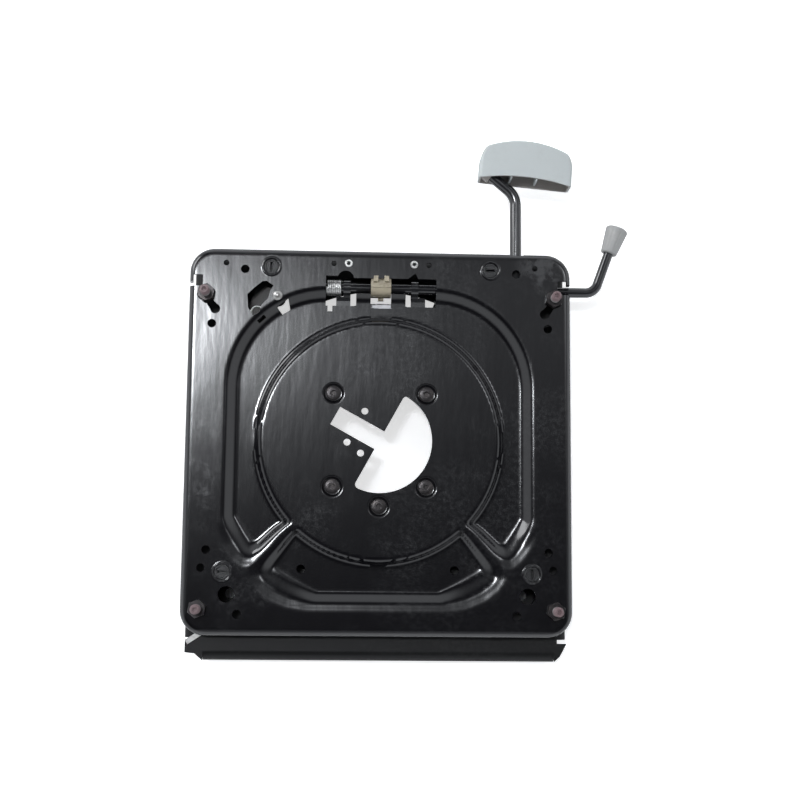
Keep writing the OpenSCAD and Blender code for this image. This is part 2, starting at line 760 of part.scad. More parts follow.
module cable_eyelets() {
    color(zinc) for (s = [-1, 1]) translate([s * eyelet_x, eyelet_y, 0]) difference() {
        union() {
            translate([0, 0, plate_top]) cylinder(h = 0.9, r1 = eyelet_r, r2 = eyelet_r - 0.6);
            translate([0, 0, plate_under - 0.6]) cylinder(h = plate_t + 0.7, r = eyelet_hole_r - eps);
        }
        translate([0, 0, plate_under - 1]) cylinder(h = plate_t + 3, r = eyelet_bore_r);
    }
}

module shaft_bracket(x) {
    boss_r = shaft_r + 2;
    translate([x, shaft_y, shaft_z]) difference() {
        union() {
            rotate([0, 90, 0]) cylinder(h = 3, r = boss_r, center = true);
            translate([-1.5, -1.6, 0]) cube([3, 8.6, shaft_drop]);
        }
        rotate([0, 90, 0]) cylinder(h = 6, r = shaft_r + pin_gap, center = true);
    }
}

module shaft_bracket_left() {
    color(black) shaft_bracket(-64);
}

module shaft_bracket_middle() {
    color(black) shaft_bracket(104);
}

module shaft_bracket_right() {
    color(black) shaft_bracket(172);
}

module shaft_clip() {
    half = tongue_in_x - 0.2;
    color(nylon) difference() {
        union() {
            translate([-half, shaft_y - 8.5, shaft_z - 7]) cube([2 * half, 17, 8]);
            translate([-half, shaft_y, shaft_z + 1]) rotate([0, 90, 0]) cylinder(h = 2 * half, r = 8.2);
            translate([-half, shaft_y, shaft_z + 1]) cube([2 * half, 8.4, plate_under - shaft_z - 1.05]);
            translate([-half, window_top_y - 1, plate_under - 2.5]) cube([2 * half, 4.5, 2.4]);
            for (s = [-1, 1]) translate([s * 5.6, 0, 0]) {
                translate([-2.4, window_top_y - 3, plate_under - 2]) cube([4.8, 2.95, plate_t + 4]);
                translate([-2.4, window_top_y - 3, plate_top + 0.05]) cube([4.8, 5.4, 1.95]);
            }
            translate([-3, shaft_y - 12, shaft_z - 7]) cube([6, 5, 3]);
        }
        translate([-half - 1, shaft_y, shaft_z]) rotate([0, 90, 0])
            cylinder(h = 2 * half + 2, r = shaft_r + pin_gap);
    }
}

module release_shaft() {
    turn = shaft_bend_turn;
    along = [cos(turn), sin(turn), 0];
    bend_end = [bend_end_x, bend_end_y, shaft_z];
    color(black) {
        rod([shaft_left, shaft_y, shaft_z], [bend_start_x, shaft_y, shaft_z], shaft_r);
        translate([bend_start_x, shaft_y + shaft_bend_r, shaft_z]) rotate([0, 0, -90])
            rotate_extrude(angle = turn) translate([shaft_bend_r, 0]) circle(shaft_r);
        rod(bend_end - along, bend_end + (lever_reach + knob_socket) * along, tail_r);
    }
}

module shaft_end_clip() {
    color(zinc) translate([-65.5 - pin_gap, shaft_y, shaft_z]) rotate([0, -90, 0]) difference() {
        cylinder(h = 1.5, r = shaft_r + 3);
        translate([0, 0, -1]) cylinder(h = 4, r = shaft_r);
        translate([-shaft_r - 5, -1.5, -1]) cube([6, 3, 4]);
    }
}

module lever_knob() {
    flute_r = 2.6;
    flutes = 8;
    color(knob_grey)
        translate([bend_end_x + lever_reach * cos(shaft_bend_turn), bend_end_y + lever_reach * sin(shaft_bend_turn),
                   shaft_z])
            rotate([0, 0, shaft_bend_turn]) rotate([0, 90, 0]) difference() {
                union() {
                    cylinder(h = knob_l - 2, r1 = knob_r1, r2 = knob_r2);
                    translate([0, 0, knob_l - 2]) cylinder(h = 2, r1 = knob_r2, r2 = knob_r2 - 1.6);
                }
                translate([0, 0, -1]) cylinder(h = knob_socket + 1 + pin_gap, r = tail_r + eps);
                for (i = [0:flutes - 1]) rotate([0, 0, i * 360 / flutes])
                    translate([knob_r1 + 1.1, 0, 3]) rotate([0, atan2(knob_r2 - knob_r1, knob_l), 0])
                        cylinder(h = knob_l + 4, r = flute_r);
            }
}

// Side view of a lock finger: y across, z up, from the shaft's axis
module finger_root_2d() {
    circle(finger_boss_r);
    polygon([[-11.5, -finger_boss_r + 1], [-2, -finger_boss_r], [-2, 2], [-7, 2.4], [-11.5, 0]]);
}

module finger_toe_2d() {
    tip = toe_y - shaft_y;
    low = toe_low - shaft_z;
    top = toe_top - shaft_z;
    polygon([[tip, low], [tip, top - 1.5], [tip + 1.5, top], [-14, top], [-9.2, 0.6], [-9.2, low + 1], [-10, low]]);
}

// Turn a flat (y, z) shape to stand across the shaft
module across(x0, x1) {
    translate([x0, shaft_y, shaft_z]) rotate([90, 0, 90]) linear_extrude(height = x1 - x0) children();
}

module lock_finger() {
    inner = finger_x - finger_w / 2;
    difference() {
        union() {
            across(inner, inner + finger_boss_w) finger_root_2d();
            across(inner, inner + finger_w) finger_toe_2d();
        }
        translate([0, shaft_y, shaft_z]) rotate([0, 90, 0]) cylinder(h = 100, r = shaft_r);
    }
}

module lock_finger_left() {
    color(black) mirror([1, 0, 0]) lock_finger();
}

module lock_finger_right() {
    color(black) lock_finger();
}

// Close-wound coil along +Z: one turn for each wire thickness
module coil(mean_r, wire, turns) {
    per_turn = 14;
    sides = 6;
    steps = per_turn * turns;
    points = [for (i = [0:steps]) for (j = [0:sides - 1])
        let (a = 360 * i / per_turn, b = 360 * j / sides, r = mean_r + wire / 2 * cos(b))
        [r * cos(a), r * sin(a), wire / 2 + (wire + 0.12) * i / per_turn + wire / 2 * sin(b)]];
    faces = concat(
        [[for (j = [sides - 1:-1:0]) j]],
        [for (i = [0:steps - 1]) for (j = [0:sides - 1]) each [
            [i * sides + (j + 1) % sides, (i + 1) * sides + j, i * sides + j],
            [i * sides + (j + 1) % sides, (i + 1) * sides + (j + 1) % sides, (i + 1) * sides + j]
        ]],
        [[for (j = [0:sides - 1]) steps * sides + j]]
    );
    polyhedron(points = points, faces = faces, convexity = 10);
}

module lock_spring() {
    color(zinc) translate([lock_spring_left, shaft_y, shaft_z]) rotate([0, 90, 0])
        coil(lock_spring_r, lock_spring_wire, lock_spring_turns);
}

module paddle_tube() {
    color(black) difference() {
        union() {
            rod([tube_x, shaft_y, shaft_z], [tube_x, tube_bend_y, shaft_z], tube_r);
            translate([tube_x - tube_bend_r, tube_bend_y, shaft_z])
                rotate_extrude(angle = tube_bend_turn) translate([tube_bend_r, 0]) circle(tube_r);
            rod(tube_end - (tube_tail_l + 1) * tube_along, tube_end, tube_tail_r);
        }
        translate([tube_x - 20, shaft_y, shaft_z]) rotate([0, 90, 0]) cylinder(h = 40, r = shaft_r);
    }
}

// Half-moon outline, mouth along y = 0, shrunk by a wall
module half_moon_2d(wall) {
    w = paddle_w - 2 * wall;
    d = paddle_d - wall;
    r = paddle_corner_r - wall;
    intersection() {
        union() {
            translate([-w / 2, 0]) square([w, d - r]);
            translate([-w / 2 + r, 0]) square([w - 2 * r, d]);
            for (s = [-1, 1]) translate([s * (w / 2 - r), d - r]) circle(r);
        }
        translate([0, d - 105 + wall]) circle(105 - wall);
        translate([-w, 0]) square([2 * w, 2 * d]);
    }
}

module paddle_handle() {
    color(paddle_grey) difference() {
        union() {
            translate([paddle_x, paddle_y, shaft_z - paddle_h / 2 + 1]) rotate([0, 0, paddle_turn]) {
                difference() {
                    linear_extrude(height = paddle_h) half_moon_2d(0);
                    translate([0, -eps, paddle_wall]) linear_extrude(height = paddle_h - 2 * paddle_wall)
                        half_moon_2d(paddle_wall);
                }
                for (x = [-16, 11]) translate([x, 3, paddle_wall - 1])
                    cube([2, paddle_d - 6, paddle_h - 2 * paddle_wall + 2]);
            }
            intersection() {
                rod(tube_end - 0.6 * socket_l * tube_along, tube_end + socket_l * tube_along, socket_r);
                translate([paddle_x, paddle_y, 0]) rotate([0, 0, paddle_turn])
                    linear_extrude(height = 2 * plate_top) half_moon_2d(1);
            }
        }
        rod(tube_end - tube_tail_l * tube_along, tube_end + pin_gap * tube_along, tube_tail_r + 2 * eps);
    }
}

module detent_pawl() {
    color(black) translate([0, 0, pawl_low]) difference() {
        union() {
            linear_extrude(height = pawl_t) difference() {
                union() {
                    translate([detent_x, detent_y]) circle(8);
                    translate([post_x, post_y]) circle(9);
                    polygon([
                        [detent_x, detent_y + 7.9], [-122, 163.5], [-136, 151], [-138.4, 134.5], [-128, 122],
                        [-112, 106], [nose.x - 3, nose.y + 1.5], [nose.x + 0.2, nose.y + 1.2],
                        [-112.5, 112], [-119, 122], [-121.5, 138], [detent_x - 4, detent_y - 7]
                    ]);
                }
                translate([detent_x, detent_y]) circle(detent_pin_r + pin_gap);
            }
            translate([post_x, post_y, pawl_t - 1]) cylinder(h = 9, r = detent_spring_r - detent_spring_wire / 2 - 0.4);
        }
    }
}

module detent_rivet() {
    color(zinc) translate([detent_x, detent_y, 0]) {
        translate([0, 0, pawl_low - 1.6]) cylinder(h = 1.5, r = detent_pin_r + 2.5);
        translate([0, 0, pawl_low - 0.5]) cylinder(h = plate_top - pawl_low + 1, r = detent_pin_r);
        translate([0, 0, pawl_top + 0.2]) cylinder(h = plate_under - pawl_top - 0.2, r = detent_pin_r + 0.35);
        translate([0, 0, plate_top]) intersection() {
            cylinder(h = 3, r = 5.4);
            translate([0, 0, -3.6]) sphere(r = 6.5);
        }
    }
}

module detent_spring() {
    color(zinc) translate([post_x, post_y, pawl_top + 0.15])
        coil(detent_spring_r, detent_spring_wire, detent_spring_turns);
}

module corner_clip() {
    color(zinc) translate([-base_w / 2 + 2.5, -base_rear + 18.5, base_h]) rotate([0, 0, 33]) difference() {
        translate([0, -2.6, 0]) cube([30, 5.2, 1.5]);
        translate([25, 0, -1]) cylinder(h = 4, r = 1.5);
    }
}

module clip_rivet() {
    color(zinc) translate([-base_w / 2 + 2.5, -base_rear + 18.5, base_h]) rotate([0, 0, 33]) translate([25, 0, 0]) {
        cylinder(h = 1.5, r = 1.5);
        translate([0, 0, 1.5]) cylinder(h = 1, r1 = 2.4, r2 = 1.6);
    }
}

base_frame();
lock_ring();
ring_rivets();
lower_race();
ball_cage();
bearing_balls();
upper_race();
hub_ring();
slide_washer();
retaining_ring();
hub_screws();
hub_nuts();
upper_plate();
seat_studs();
seat_nuts();
glide_pads();
cable_eyelets();
shaft_bracket_left();
shaft_bracket_middle();
shaft_bracket_right();
shaft_clip();
release_shaft();
shaft_end_clip();
lock_finger_left();
lock_finger_right();
lock_spring();
paddle_tube();
paddle_handle();
lever_knob();
detent_pawl();
detent_rivet();
detent_spring();
corner_clip();
clip_rivet();
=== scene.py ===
# %% [markdown]
# # Swivel seat base
# The object is a pressed turntable on a floor frame. Its construction comes packed as separate solids, and
# this script dresses it: smooth pressed sheet, wound springs, cut threads, moulded grips and paint. The
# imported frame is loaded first, because every piece is placed against it.

# %% Load the frame
import math

import bmesh
import bpy
import numpy as np
from mathutils import Matrix, Vector


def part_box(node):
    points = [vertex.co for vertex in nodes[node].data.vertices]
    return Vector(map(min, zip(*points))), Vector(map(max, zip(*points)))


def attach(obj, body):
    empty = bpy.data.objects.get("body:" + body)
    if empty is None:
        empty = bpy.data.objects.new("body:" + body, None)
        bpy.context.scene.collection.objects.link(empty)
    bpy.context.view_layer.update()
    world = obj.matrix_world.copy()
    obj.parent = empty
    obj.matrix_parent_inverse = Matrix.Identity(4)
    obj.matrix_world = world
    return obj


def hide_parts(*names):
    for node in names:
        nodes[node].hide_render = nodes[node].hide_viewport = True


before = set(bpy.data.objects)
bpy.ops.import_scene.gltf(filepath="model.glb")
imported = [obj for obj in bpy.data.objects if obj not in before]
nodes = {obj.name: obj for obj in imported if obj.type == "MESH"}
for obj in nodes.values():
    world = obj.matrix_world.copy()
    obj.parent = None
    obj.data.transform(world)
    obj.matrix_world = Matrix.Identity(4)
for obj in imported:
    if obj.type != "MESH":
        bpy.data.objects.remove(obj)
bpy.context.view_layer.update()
MM = 0.001

# %% [markdown]
# The real heights are read from the frame once, so that each new piece sits on the solid that carries it.

# %% Heights and centres
plate_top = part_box("seat_nuts")[0].z
shaft_z = 0.0355
shaft_y = 0.162
print("plate top at", round(plate_top * 1000, 2), "mm")

# %% [markdown]
# ## Small helpers for meshes
# Every piece is shaped in a bmesh, made into an object at the origin and told which body carries it. Smooth
# shading with a sharp angle keeps turned faces round and pressed edges crisp. A cut is a Boolean that is
# applied at once, so that the piece is a plain mesh again.

# %% Piece helper
def make_piece(name, bm, body, sharp=35, clean=True):
    if clean:
        bmesh.ops.remove_doubles(bm, verts=bm.verts, dist=1e-7)
        bmesh.ops.recalc_face_normals(bm, faces=bm.faces)
    mesh = bpy.data.meshes.new(name)
    bm.to_mesh(mesh)
    bm.free()
    mesh.shade_smooth()
    mesh.set_sharp_from_angle(angle=math.radians(sharp))
    piece = bpy.data.objects.new(name, mesh)
    bpy.context.scene.collection.objects.link(piece)
    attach(piece, body)
    return piece


def shift(bm, verts, offset):
    bmesh.ops.translate(bm, verts=verts, vec=offset)


def spin_profile(bm, profile, centre, axis, steps=48, angle=2 * math.pi, rise=(0, 0, 0)):
    points = [bm.verts.new(p) for p in profile]
    edges = [bm.edges.new((a, b)) for a, b in zip(points, points[1:])]
    full = abs(angle - 2 * math.pi) < 1e-6 and not any(rise)
    bmesh.ops.spin(bm, geom=points + edges, cent=centre, axis=axis, steps=steps, angle=angle,
                   dvec=Vector(rise) / steps, use_merge=full)


def add_cylinder(bm, centre, radius, depth, segments=32, radius_top=None, matrix=None):
    place = Matrix.Translation(centre) @ (matrix if matrix is not None else Matrix.Identity(4))
    top = radius if radius_top is None else radius_top
    return bmesh.ops.create_cone(bm, cap_ends=True, segments=segments, radius1=radius, radius2=top,
                                 depth=depth, matrix=place)["verts"]


def add_part(bm, part):
    mesh = bpy.data.meshes.new("part")
    part.to_mesh(mesh)
    part.free()
    bm.from_mesh(mesh)
    bpy.data.meshes.remove(mesh)


def cut_away(piece, cutter, sharp, use_self=False):
    mesh = bpy.data.meshes.new("cutter")
    cutter.to_mesh(mesh)
    cutter.free()
    tool = bpy.data.objects.new("cutter", mesh)
    bpy.context.scene.collection.objects.link(tool)
    cut = piece.modifiers.new("cut", "BOOLEAN")
    cut.operation = "DIFFERENCE"
    cut.solver = "EXACT"
    cut.object = tool
    cut.use_self = use_self
    bpy.context.view_layer.update()
    depsgraph = bpy.context.evaluated_depsgraph_get()
    finished = bpy.data.meshes.new_from_object(piece.evaluated_get(depsgraph))
    piece.modifiers.clear()
    piece.data = finished
    bpy.data.objects.remove(tool)
    piece.data.shade_smooth()
    piece.data.set_sharp_from_angle(angle=math.radians(sharp))


print("helpers ready")

# %% [markdown]
# ## The upper plate
# The real plate is one blank of sheet steel, drawn in a press. Its pockets have soft shoulders where the
# sheet bends, which a sharp solid doesn't show. A fine grid is therefore drawn down by the same depth as
# the press would draw it: full depth inside the floor outline, none outside the top outline, a smooth wall
# between. The outlines follow the solid's own outlines, so that the sheet lies on it.

# %% Outlines of the pockets, in millimetres
def arc_points(cx, cy, r, a0, a1, count):
    angles = np.radians(np.linspace(a0, a1, count + 1))
    return [(cx + r * math.cos(a), cy + r * math.sin(a)) for a in angles]


def big_outline(share):
    w = 160 - 13 * share
    r = 105 - 13 * share
    top = [(157.5, -93), (151, -107), (143, -118), (135, -123.5), (127, -122.5), (97, -91), (60, -60)]
    low = [(142.5, -85), (137.5, -92), (132.5, -98.8), (128, -105.4), (124.5, -105), (108, -90.5), (60, -60)]
    end = [(a[0] + (b[0] - a[0]) * share, a[1] + (b[1] - a[1]) * share) for a, b in zip(top, low)]
    half = end[::-1] + [(w, -80 + share)] + arc_points(w - r, w - r, r, 0, 90, 40)
    return half + [(-x, y) for x, y in half[::-1]]


def rear_outline(share):
    top = [(0, -167), (72, -167), (91, -164), (107, -157.5), (119, -148.5), (125.5, -139), (122, -130),
           (93, -99.5), (76, -84)]
    low = [(0, -155.7), (62, -155.7), (77, -147), (92, -138), (105.5, -130), (104, -126.5), (101, -122),
           (91.5, -107.5), (76, -84)]
    half = [(a[0] + (b[0] - a[0]) * share, a[1] + (b[1] - a[1]) * share) for a, b in zip(top, low)]
    return half + [(-x, y) for x, y in half[:0:-1]]


print("outlines:", len(big_outline(0)), "and", len(rear_outline(0)), "points")

# %% [markdown]
# The share of the wall at a point comes from its distances to the two outlines. A numpy sum over all edges
# gives them for the whole grid at once. At the rear the sheet also sags a little before it goes over the
# pockets' edges, which gives the broad soft highlights round their corners.

# %% Depth of the pressing at a point
def signed_distance(points, outline):
    a = np.array(outline)
    b = np.roll(a, -1, axis=0)
    best = np.full(len(points), 1e9)
    inside = np.zeros(len(points), bool)
    for (ax, ay), (bx, by) in zip(a, b):
        dx, dy = bx - ax, by - ay
        length = dx * dx + dy * dy
        if length < 1e-12:
            continue
        t = np.clip(((points[:, 0] - ax) * dx + (points[:, 1] - ay) * dy) / length, 0, 1)
        best = np.minimum(best, np.hypot(points[:, 0] - ax - t * dx, points[:, 1] - ay - t * dy))
        if ay != by:
            crosses = (ay > points[:, 1]) != (by > points[:, 1])
            inside ^= crosses & (points[:, 0] < (bx - ax) * (points[:, 1] - ay) / (by - ay) + ax)
    return np.where(inside, best, -best)


def soft(share):
    share = np.clip(share, 0, 1)
    return share * share * (3 - 2 * share)


def pocket_share(points, outline):
    outer = signed_distance(points, outline(0))
    inner = signed_distance(points, outline(1))
    between = np.maximum(outer, 0) / (np.maximum(outer, 0) + np.maximum(-inner, 0) + 1e-9)
    wall = np.where(inner > 0, 1, np.where(outer < 0, 0, between))
    disc = (np.hypot(points[:, 0], points[:, 1]) - 122.5) / 7.5
    return np.minimum(soft(wall), soft(disc))


screw_circle = 68.2
screw_spots = [(screw_circle * math.cos(math.radians(a)), screw_circle * math.sin(math.radians(a)))
               for a in (45, 135, 225, 270, 315)]
pad_spots = [(-115, 181), (115, 181), (-158, -136), (158, -136)]
pocket_depth = 8.0
shoulder_sag = 0.9


def press_height(points):
    share = np.maximum(pocket_share(points, big_outline), pocket_share(points, rear_outline))
    near = np.maximum(signed_distance(points, big_outline(0)), signed_distance(points, rear_outline(0)))
    disc = soft((np.hypot(points[:, 0], points[:, 1]) - 122.5) / 7.5)
    sag = shoulder_sag * disc * soft((-85 - points[:, 1]) / 25) * soft(1 + near / 8)
    height = -pocket_depth * share - sag * (1 - share)
    for x, y in screw_spots:
        r = np.hypot(points[:, 0] - x, points[:, 1] - y)
        height -= 1.6 * soft((11.4 - r) / 2.9)
    for x, y in pad_spots:
        r = np.hypot(points[:, 0] - x, points[:, 1] - y)
        height += 0.8 * soft(1 - np.abs(r - 9.1) / 1.3)
    return height


print("floor depth:", press_height(np.array([[140.0, 0.0]]))[0], "mm")

# %% [markdown]
# The grid's corners are pulled round to the plate's corner radius. Its border is then extruded outwards and
# down in small steps, which makes the rolled edge and the rim in one go with the face.

# %% Sheet of the upper plate
half = 194.0
corner = 20.0
cells = 156
bm = bmesh.new()
bmesh.ops.create_grid(bm, x_segments=cells, y_segments=cells, size=half)
for x, y in screw_spots + pad_spots:
    for reach in (13.5, 12.5):
        near = [e for e in bm.edges if math.hypot((e.verts[0].co.x + e.verts[1].co.x) / 2 - x,
                                                  (e.verts[0].co.y + e.verts[1].co.y) / 2 - y) < reach]
        bmesh.ops.subdivide_edges(bm, edges=near, cuts=1, use_grid_fill=True)
for v in bm.verts:
    dx, dy = abs(v.co.x) - (half - corner), abs(v.co.y) - (half - corner)
    if dx > 0 and dy > 0:
        scale = max(dx, dy) / math.hypot(dx, dy)
        v.co.x = math.copysign(half - corner + dx * scale, v.co.x)
        v.co.y = math.copysign(half - corner + dy * scale, v.co.y)
flat = np.array([v.co[:2] for v in bm.verts])
for v, z in zip(bm.verts, press_height(flat)):
    v.co.z = z
print("plate face:", len(bm.faces), "faces")

# %% Rolled edge and rim
border = [e for e in bm.edges if e.is_boundary]
roll = 6
profile = [(roll * math.sin(math.radians(a)), roll * math.cos(math.radians(a)) - roll)
           for a in (15, 30, 45, 60, 75, 90)]
profile += [(6, -9), (6, -12)]
outward = {}
last = (0.0, 0.0)
for out, z in profile:
    made = bmesh.ops.extrude_edge_only(bm, edges=border)["geom"]
    ring_verts = [g for g in made if isinstance(g, bmesh.types.BMVert)]
    border = [g for g in made if isinstance(g, bmesh.types.BMEdge)]
    for v in ring_verts:
        cx = max(-(half - corner), min(half - corner, v.co.x))
        cy = max(-(half - corner), min(half - corner, v.co.y))
        away = Vector((v.co.x - cx, v.co.y - cy))
        away.normalize()
        v.co.x += away.x * (out - last[0])
        v.co.y += away.y * (out - last[0])
        v.co.z += z - last[1]
    last = (out, z)
bmesh.ops.scale(bm, vec=(MM, MM, MM), verts=bm.verts)
shift(bm, bm.verts, (0, 0, plate_top))
bmesh.ops.recalc_face_normals(bm, faces=bm.faces)
middle = min(bm.faces, key=lambda f: f.calc_center_median().xy.length)
if middle.normal.z < 0:
    bmesh.ops.reverse_faces(bm, faces=bm.faces)
plate = make_piece("pressed_plate", bm, "turntable", sharp=60, clean=False)
thick = plate.modifiers.new("sheet thickness", "SOLIDIFY")
thick.thickness = 0.003
thick.offset = -1
thick.use_even_offset = False
print("rolled edge in", len(profile), "steps")

# %% [markdown]
# ## Holes through the plate
# A punch is a solid that passes through the sheet. All the punches are joined in one mesh and taken from
# the sheet with one Boolean, which is then applied, so that the finished plate is a plain mesh again.

# %% Punches
punches = bmesh.new()


def punch_round(x, y, r, segments=32):
    add_cylinder(punches, (x * MM, y * MM, plate_top - 0.004), r * MM, 0.03, segments)


def punch_outline(outline):
    verts = [punches.verts.new((x * MM, y * MM, plate_top - 0.019)) for x, y in outline]
    face = punches.faces.new(verts)
    made = bmesh.ops.extrude_face_region(punches, geom=[face])["geom"]
    shift(punches, [g for g in made if isinstance(g, bmesh.types.BMVert)], (0, 0, 0.03))


for side in (-1, 1):
    for x, y, r in ((142.3, 177.7, 4.5), (162, 184, 3), (175.5, 119.5, 4.5), (49.9, 185.5, 2.8), (175, -113.8, 4.3),
                    (179.8, -132, 4.2), (142.1, -178.4, 4.5), (153.5, -158.5, 8.2), (78.7, -132.6, 4.5),
                    (34.5, 186, 3.1)):
        punch_round(side * x, y, r)
for x, y in ((-15.4, 30.1), (-33.5, -2.4), (-19.4, -13.5)):
    punch_round(x, y, 3.6)
for x, y in pad_spots:
    punch_round(x, y, 7.62, 48)
for x, y in screw_spots:
    punch_round(x, y, 4.2)
for x in (-182, 182):
    for y in (151, -173):
        punch_round(x, y, 5.42)
punch_round(-108.4, 150.5, 4.02)
print("round punches:", len(punches.faces), "faces")

# %% [markdown]
# The cable aperture is a half disc with rounded corners and a straight arm, turned as in the photograph.

# %% Aperture, slots and windows
turn = math.radians(-28.7)


def turned(points):
    return [(x * math.cos(turn) - y * math.sin(turn), x * math.sin(turn) + y * math.cos(turn)) for x, y in points]


edge_y = math.sqrt((54.5 - 4.5) ** 2 - 4.5 ** 2)
lean = math.degrees(math.atan2(edge_y, 4.5))
aperture = arc_points(4.5, -edge_y, 4.5, 180, 360 - lean, 8) + arc_points(0, 0, 54.5, -lean + 1, lean - 1, 60)
aperture += arc_points(4.5, edge_y, 4.5, lean, 180, 8)
aperture += [(0, 10.5), (-52.5, 10.5), (-52.5, -10.5), (0, -10.5)]
punch_outline(turned(aperture))


def slot_outline(side):
    points = []
    c, s = math.cos(math.radians(52)), math.sin(math.radians(52))
    for x, y in arc_points(7, 0, 3.5, -90, 90, 10) + arc_points(-5, 0, 5.2, 60, 300, 14):
        points.append((side * (175.5 + x * c - y * s), 139 + x * s + y * c))
    return points if side > 0 else points[::-1]


punch_outline(slot_outline(1))
punch_outline(slot_outline(-1))
detent_shapes = [
    [(-139.5, 151), (-138.5, 137), (-133, 128), (-126.5, 132), (-125, 139.5), (-118, 147), (-116, 154.5),
     (-112.5, 161), (-120, 165.5), (-124, 165), (-132.5, 158)],
    [(-97, 148), (-108.5, 138.5), (-103, 131.5), (-95, 136.5)],
    [(-129, 123.5), (-126.5, 121), (-119.5, 127.5), (-122, 130)],
]
for shape in detent_shapes:
    punch_outline(shape)
window_cut = [(-58, 142), (-56, 142), (-56, 136), (-51, 136), (-51, 142), (-26, 142), (-26, 154.5),
              (-10.8, 154.5), (-10.8, 140), (10.8, 140), (10.8, 154.5), (26, 154.5), (26, 142), (58, 142),
              (58, 170.5), (38.8, 170.5), (36, 176.5), (28, 170.5), (-28.8, 170.5)]
window_cut += arc_points(-37.2, 169.5, 8.6, 20, 160, 14) + [(-45.8, 172.5), (-58, 172.5)]
punch_outline(window_cut)
for side, low, high in ((1, 156.4, 167.6), (-1, 159, 164)):
    corner_cut = [(186, low), (206, low), (206, high), (196.5, high), (196.5, 171), (186, 171)]
    punch_outline([(side * x, y) for x, y in corner_cut])
slab = bmesh.ops.create_cube(punches, size=1)["verts"]
bmesh.ops.scale(punches, vec=(0.015, 0.012, 0.0112), verts=slab)
shift(punches, slab, (0.1434, 0.198, plate_top - 0.013 + 0.0056))
bmesh.ops.recalc_face_normals(punches, faces=punches.faces)
print("all punches:", len(punches.faces), "faces")

# %% Punch the plate
cut_away(plate, punches, 42, use_self=True)
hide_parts("upper_plate")
print("punched plate:", len(plate.data.polygons), "faces")

# %% [markdown]
# ## Springs
# Both springs are wound from round wire. A small circle that is spun about the coil's axis while it climbs
# by one wire thickness in each turn gives the true helix.

# %% Wound springs
def wound_spring(name, body, centre, axis, start, wire, turns, pitch, cad_node, legs):
    bm = bmesh.new()
    axis = Vector(axis)
    away = (Vector(start) - Vector(centre)).normalized()
    ring = bmesh.ops.create_circle(bm, segments=10, radius=wire / 2)["verts"]
    turn_to = Matrix.Identity(3)
    turn_to.col[0], turn_to.col[1], turn_to.col[2] = away, axis, away.cross(axis)
    bmesh.ops.rotate(bm, verts=ring, cent=(0, 0, 0), matrix=turn_to)
    shift(bm, ring, start)
    edges = [e for e in bm.edges]
    first = list(ring)
    steps = int(turns * 28)
    spun = bmesh.ops.spin(bm, geom=ring + edges, cent=centre, axis=axis, steps=steps, angle=turns * 2 * math.pi,
                          dvec=axis * pitch * turns / steps, use_merge=False)["geom_last"]
    for loop, leg in ((spun, legs[1]), (first, legs[0])):
        for step in leg:
            rim = [e for e in bm.edges if e.is_boundary and all(v in loop for v in e.verts)]
            made = bmesh.ops.extrude_edge_only(bm, edges=rim)["geom"]
            loop = [g for g in made if isinstance(g, bmesh.types.BMVert)]
            shift(bm, loop, step)
        bmesh.ops.holes_fill(bm, edges=[e for e in bm.edges if e.is_boundary and all(v in loop for v in e.verts)])
    piece = make_piece(name, bm, body, 50)
    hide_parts(cad_node)
    return piece


lock_spring = wound_spring(
    "wound_lock_spring", "lever", (-0.0572, shaft_y, shaft_z), (1, 0, 0), (-0.0572, shaft_y, shaft_z + 0.00775),
    0.0019, 7.75, 0.00202, "lock_spring", [[(0, -0.004, 0.0008)], [(0.001, 0, -0.004), (0.0012, 0, -0.004)]])
detent_spring = wound_spring(
    "wound_detent_spring", "pawl", (-0.1295, 0.1335, 0.0329), (0, 0, 1), (-0.1231, 0.1335, 0.0329),
    0.002, 4, 0.00212, "detent_spring", [[], []])
print("springs wound")

# %% [markdown]
# ## Threaded studs
# A thread is a zigzag edge that climbs by one pitch while it is spun once round. The seam closes by itself,
# because the zigzag repeats with the same pitch. A plain core and a small chamfered tip finish each stud.

# %% Seat studs
bm = bmesh.new()
pitch = 0.0015
teeth = 9
for x in (-0.182, 0.182):
    for y in (0.151, -0.173):
        zigzag = []
        for i in range(2 * teeth + 1):
            zigzag.append((x + (0.0042 if i % 2 == 0 else 0.00495), y, plate_top + 0.0078 + i * pitch / 2))
        spin_profile(bm, zigzag, (x, y, 0), (0, 0, 1), steps=24, rise=(0, 0, pitch))
        add_cylinder(bm, (x, y, plate_top + 0.0082), 0.0043, 0.0252, 24)
        add_cylinder(bm, (x, y, plate_top - 0.0018), 0.00535, 0.0032, 32)
        tip = [(0.0043, 0.0202), (0.0045, 0.0216), (0.0045, 0.0222), (0.0037, 0.023), (0.0024, 0.023),
               (0.0015, 0.0214), (0.0, 0.0214)]
        spin_profile(bm, [(x + r, y, plate_top + z) for r, z in tip], (x, y, 0), (0, 0, 1), 24)
        add_cylinder(bm, (x, y, plate_top - 0.0037), 0.0074, 0.0014, 32)
studs = make_piece("threaded_studs", bm, "turntable", 30)
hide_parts("seat_studs")
print("studs:", len(studs.data.polygons), "faces")

# %% [markdown]
# ## Hub screws and glide pads
# The five screws have round heads with a hexagon socket. A profile is spun once round, and the socket's
# points are then moved out to the hexagon's sides. The pads are turned plastic buttons with a bold slot,
# cut by a Boolean.

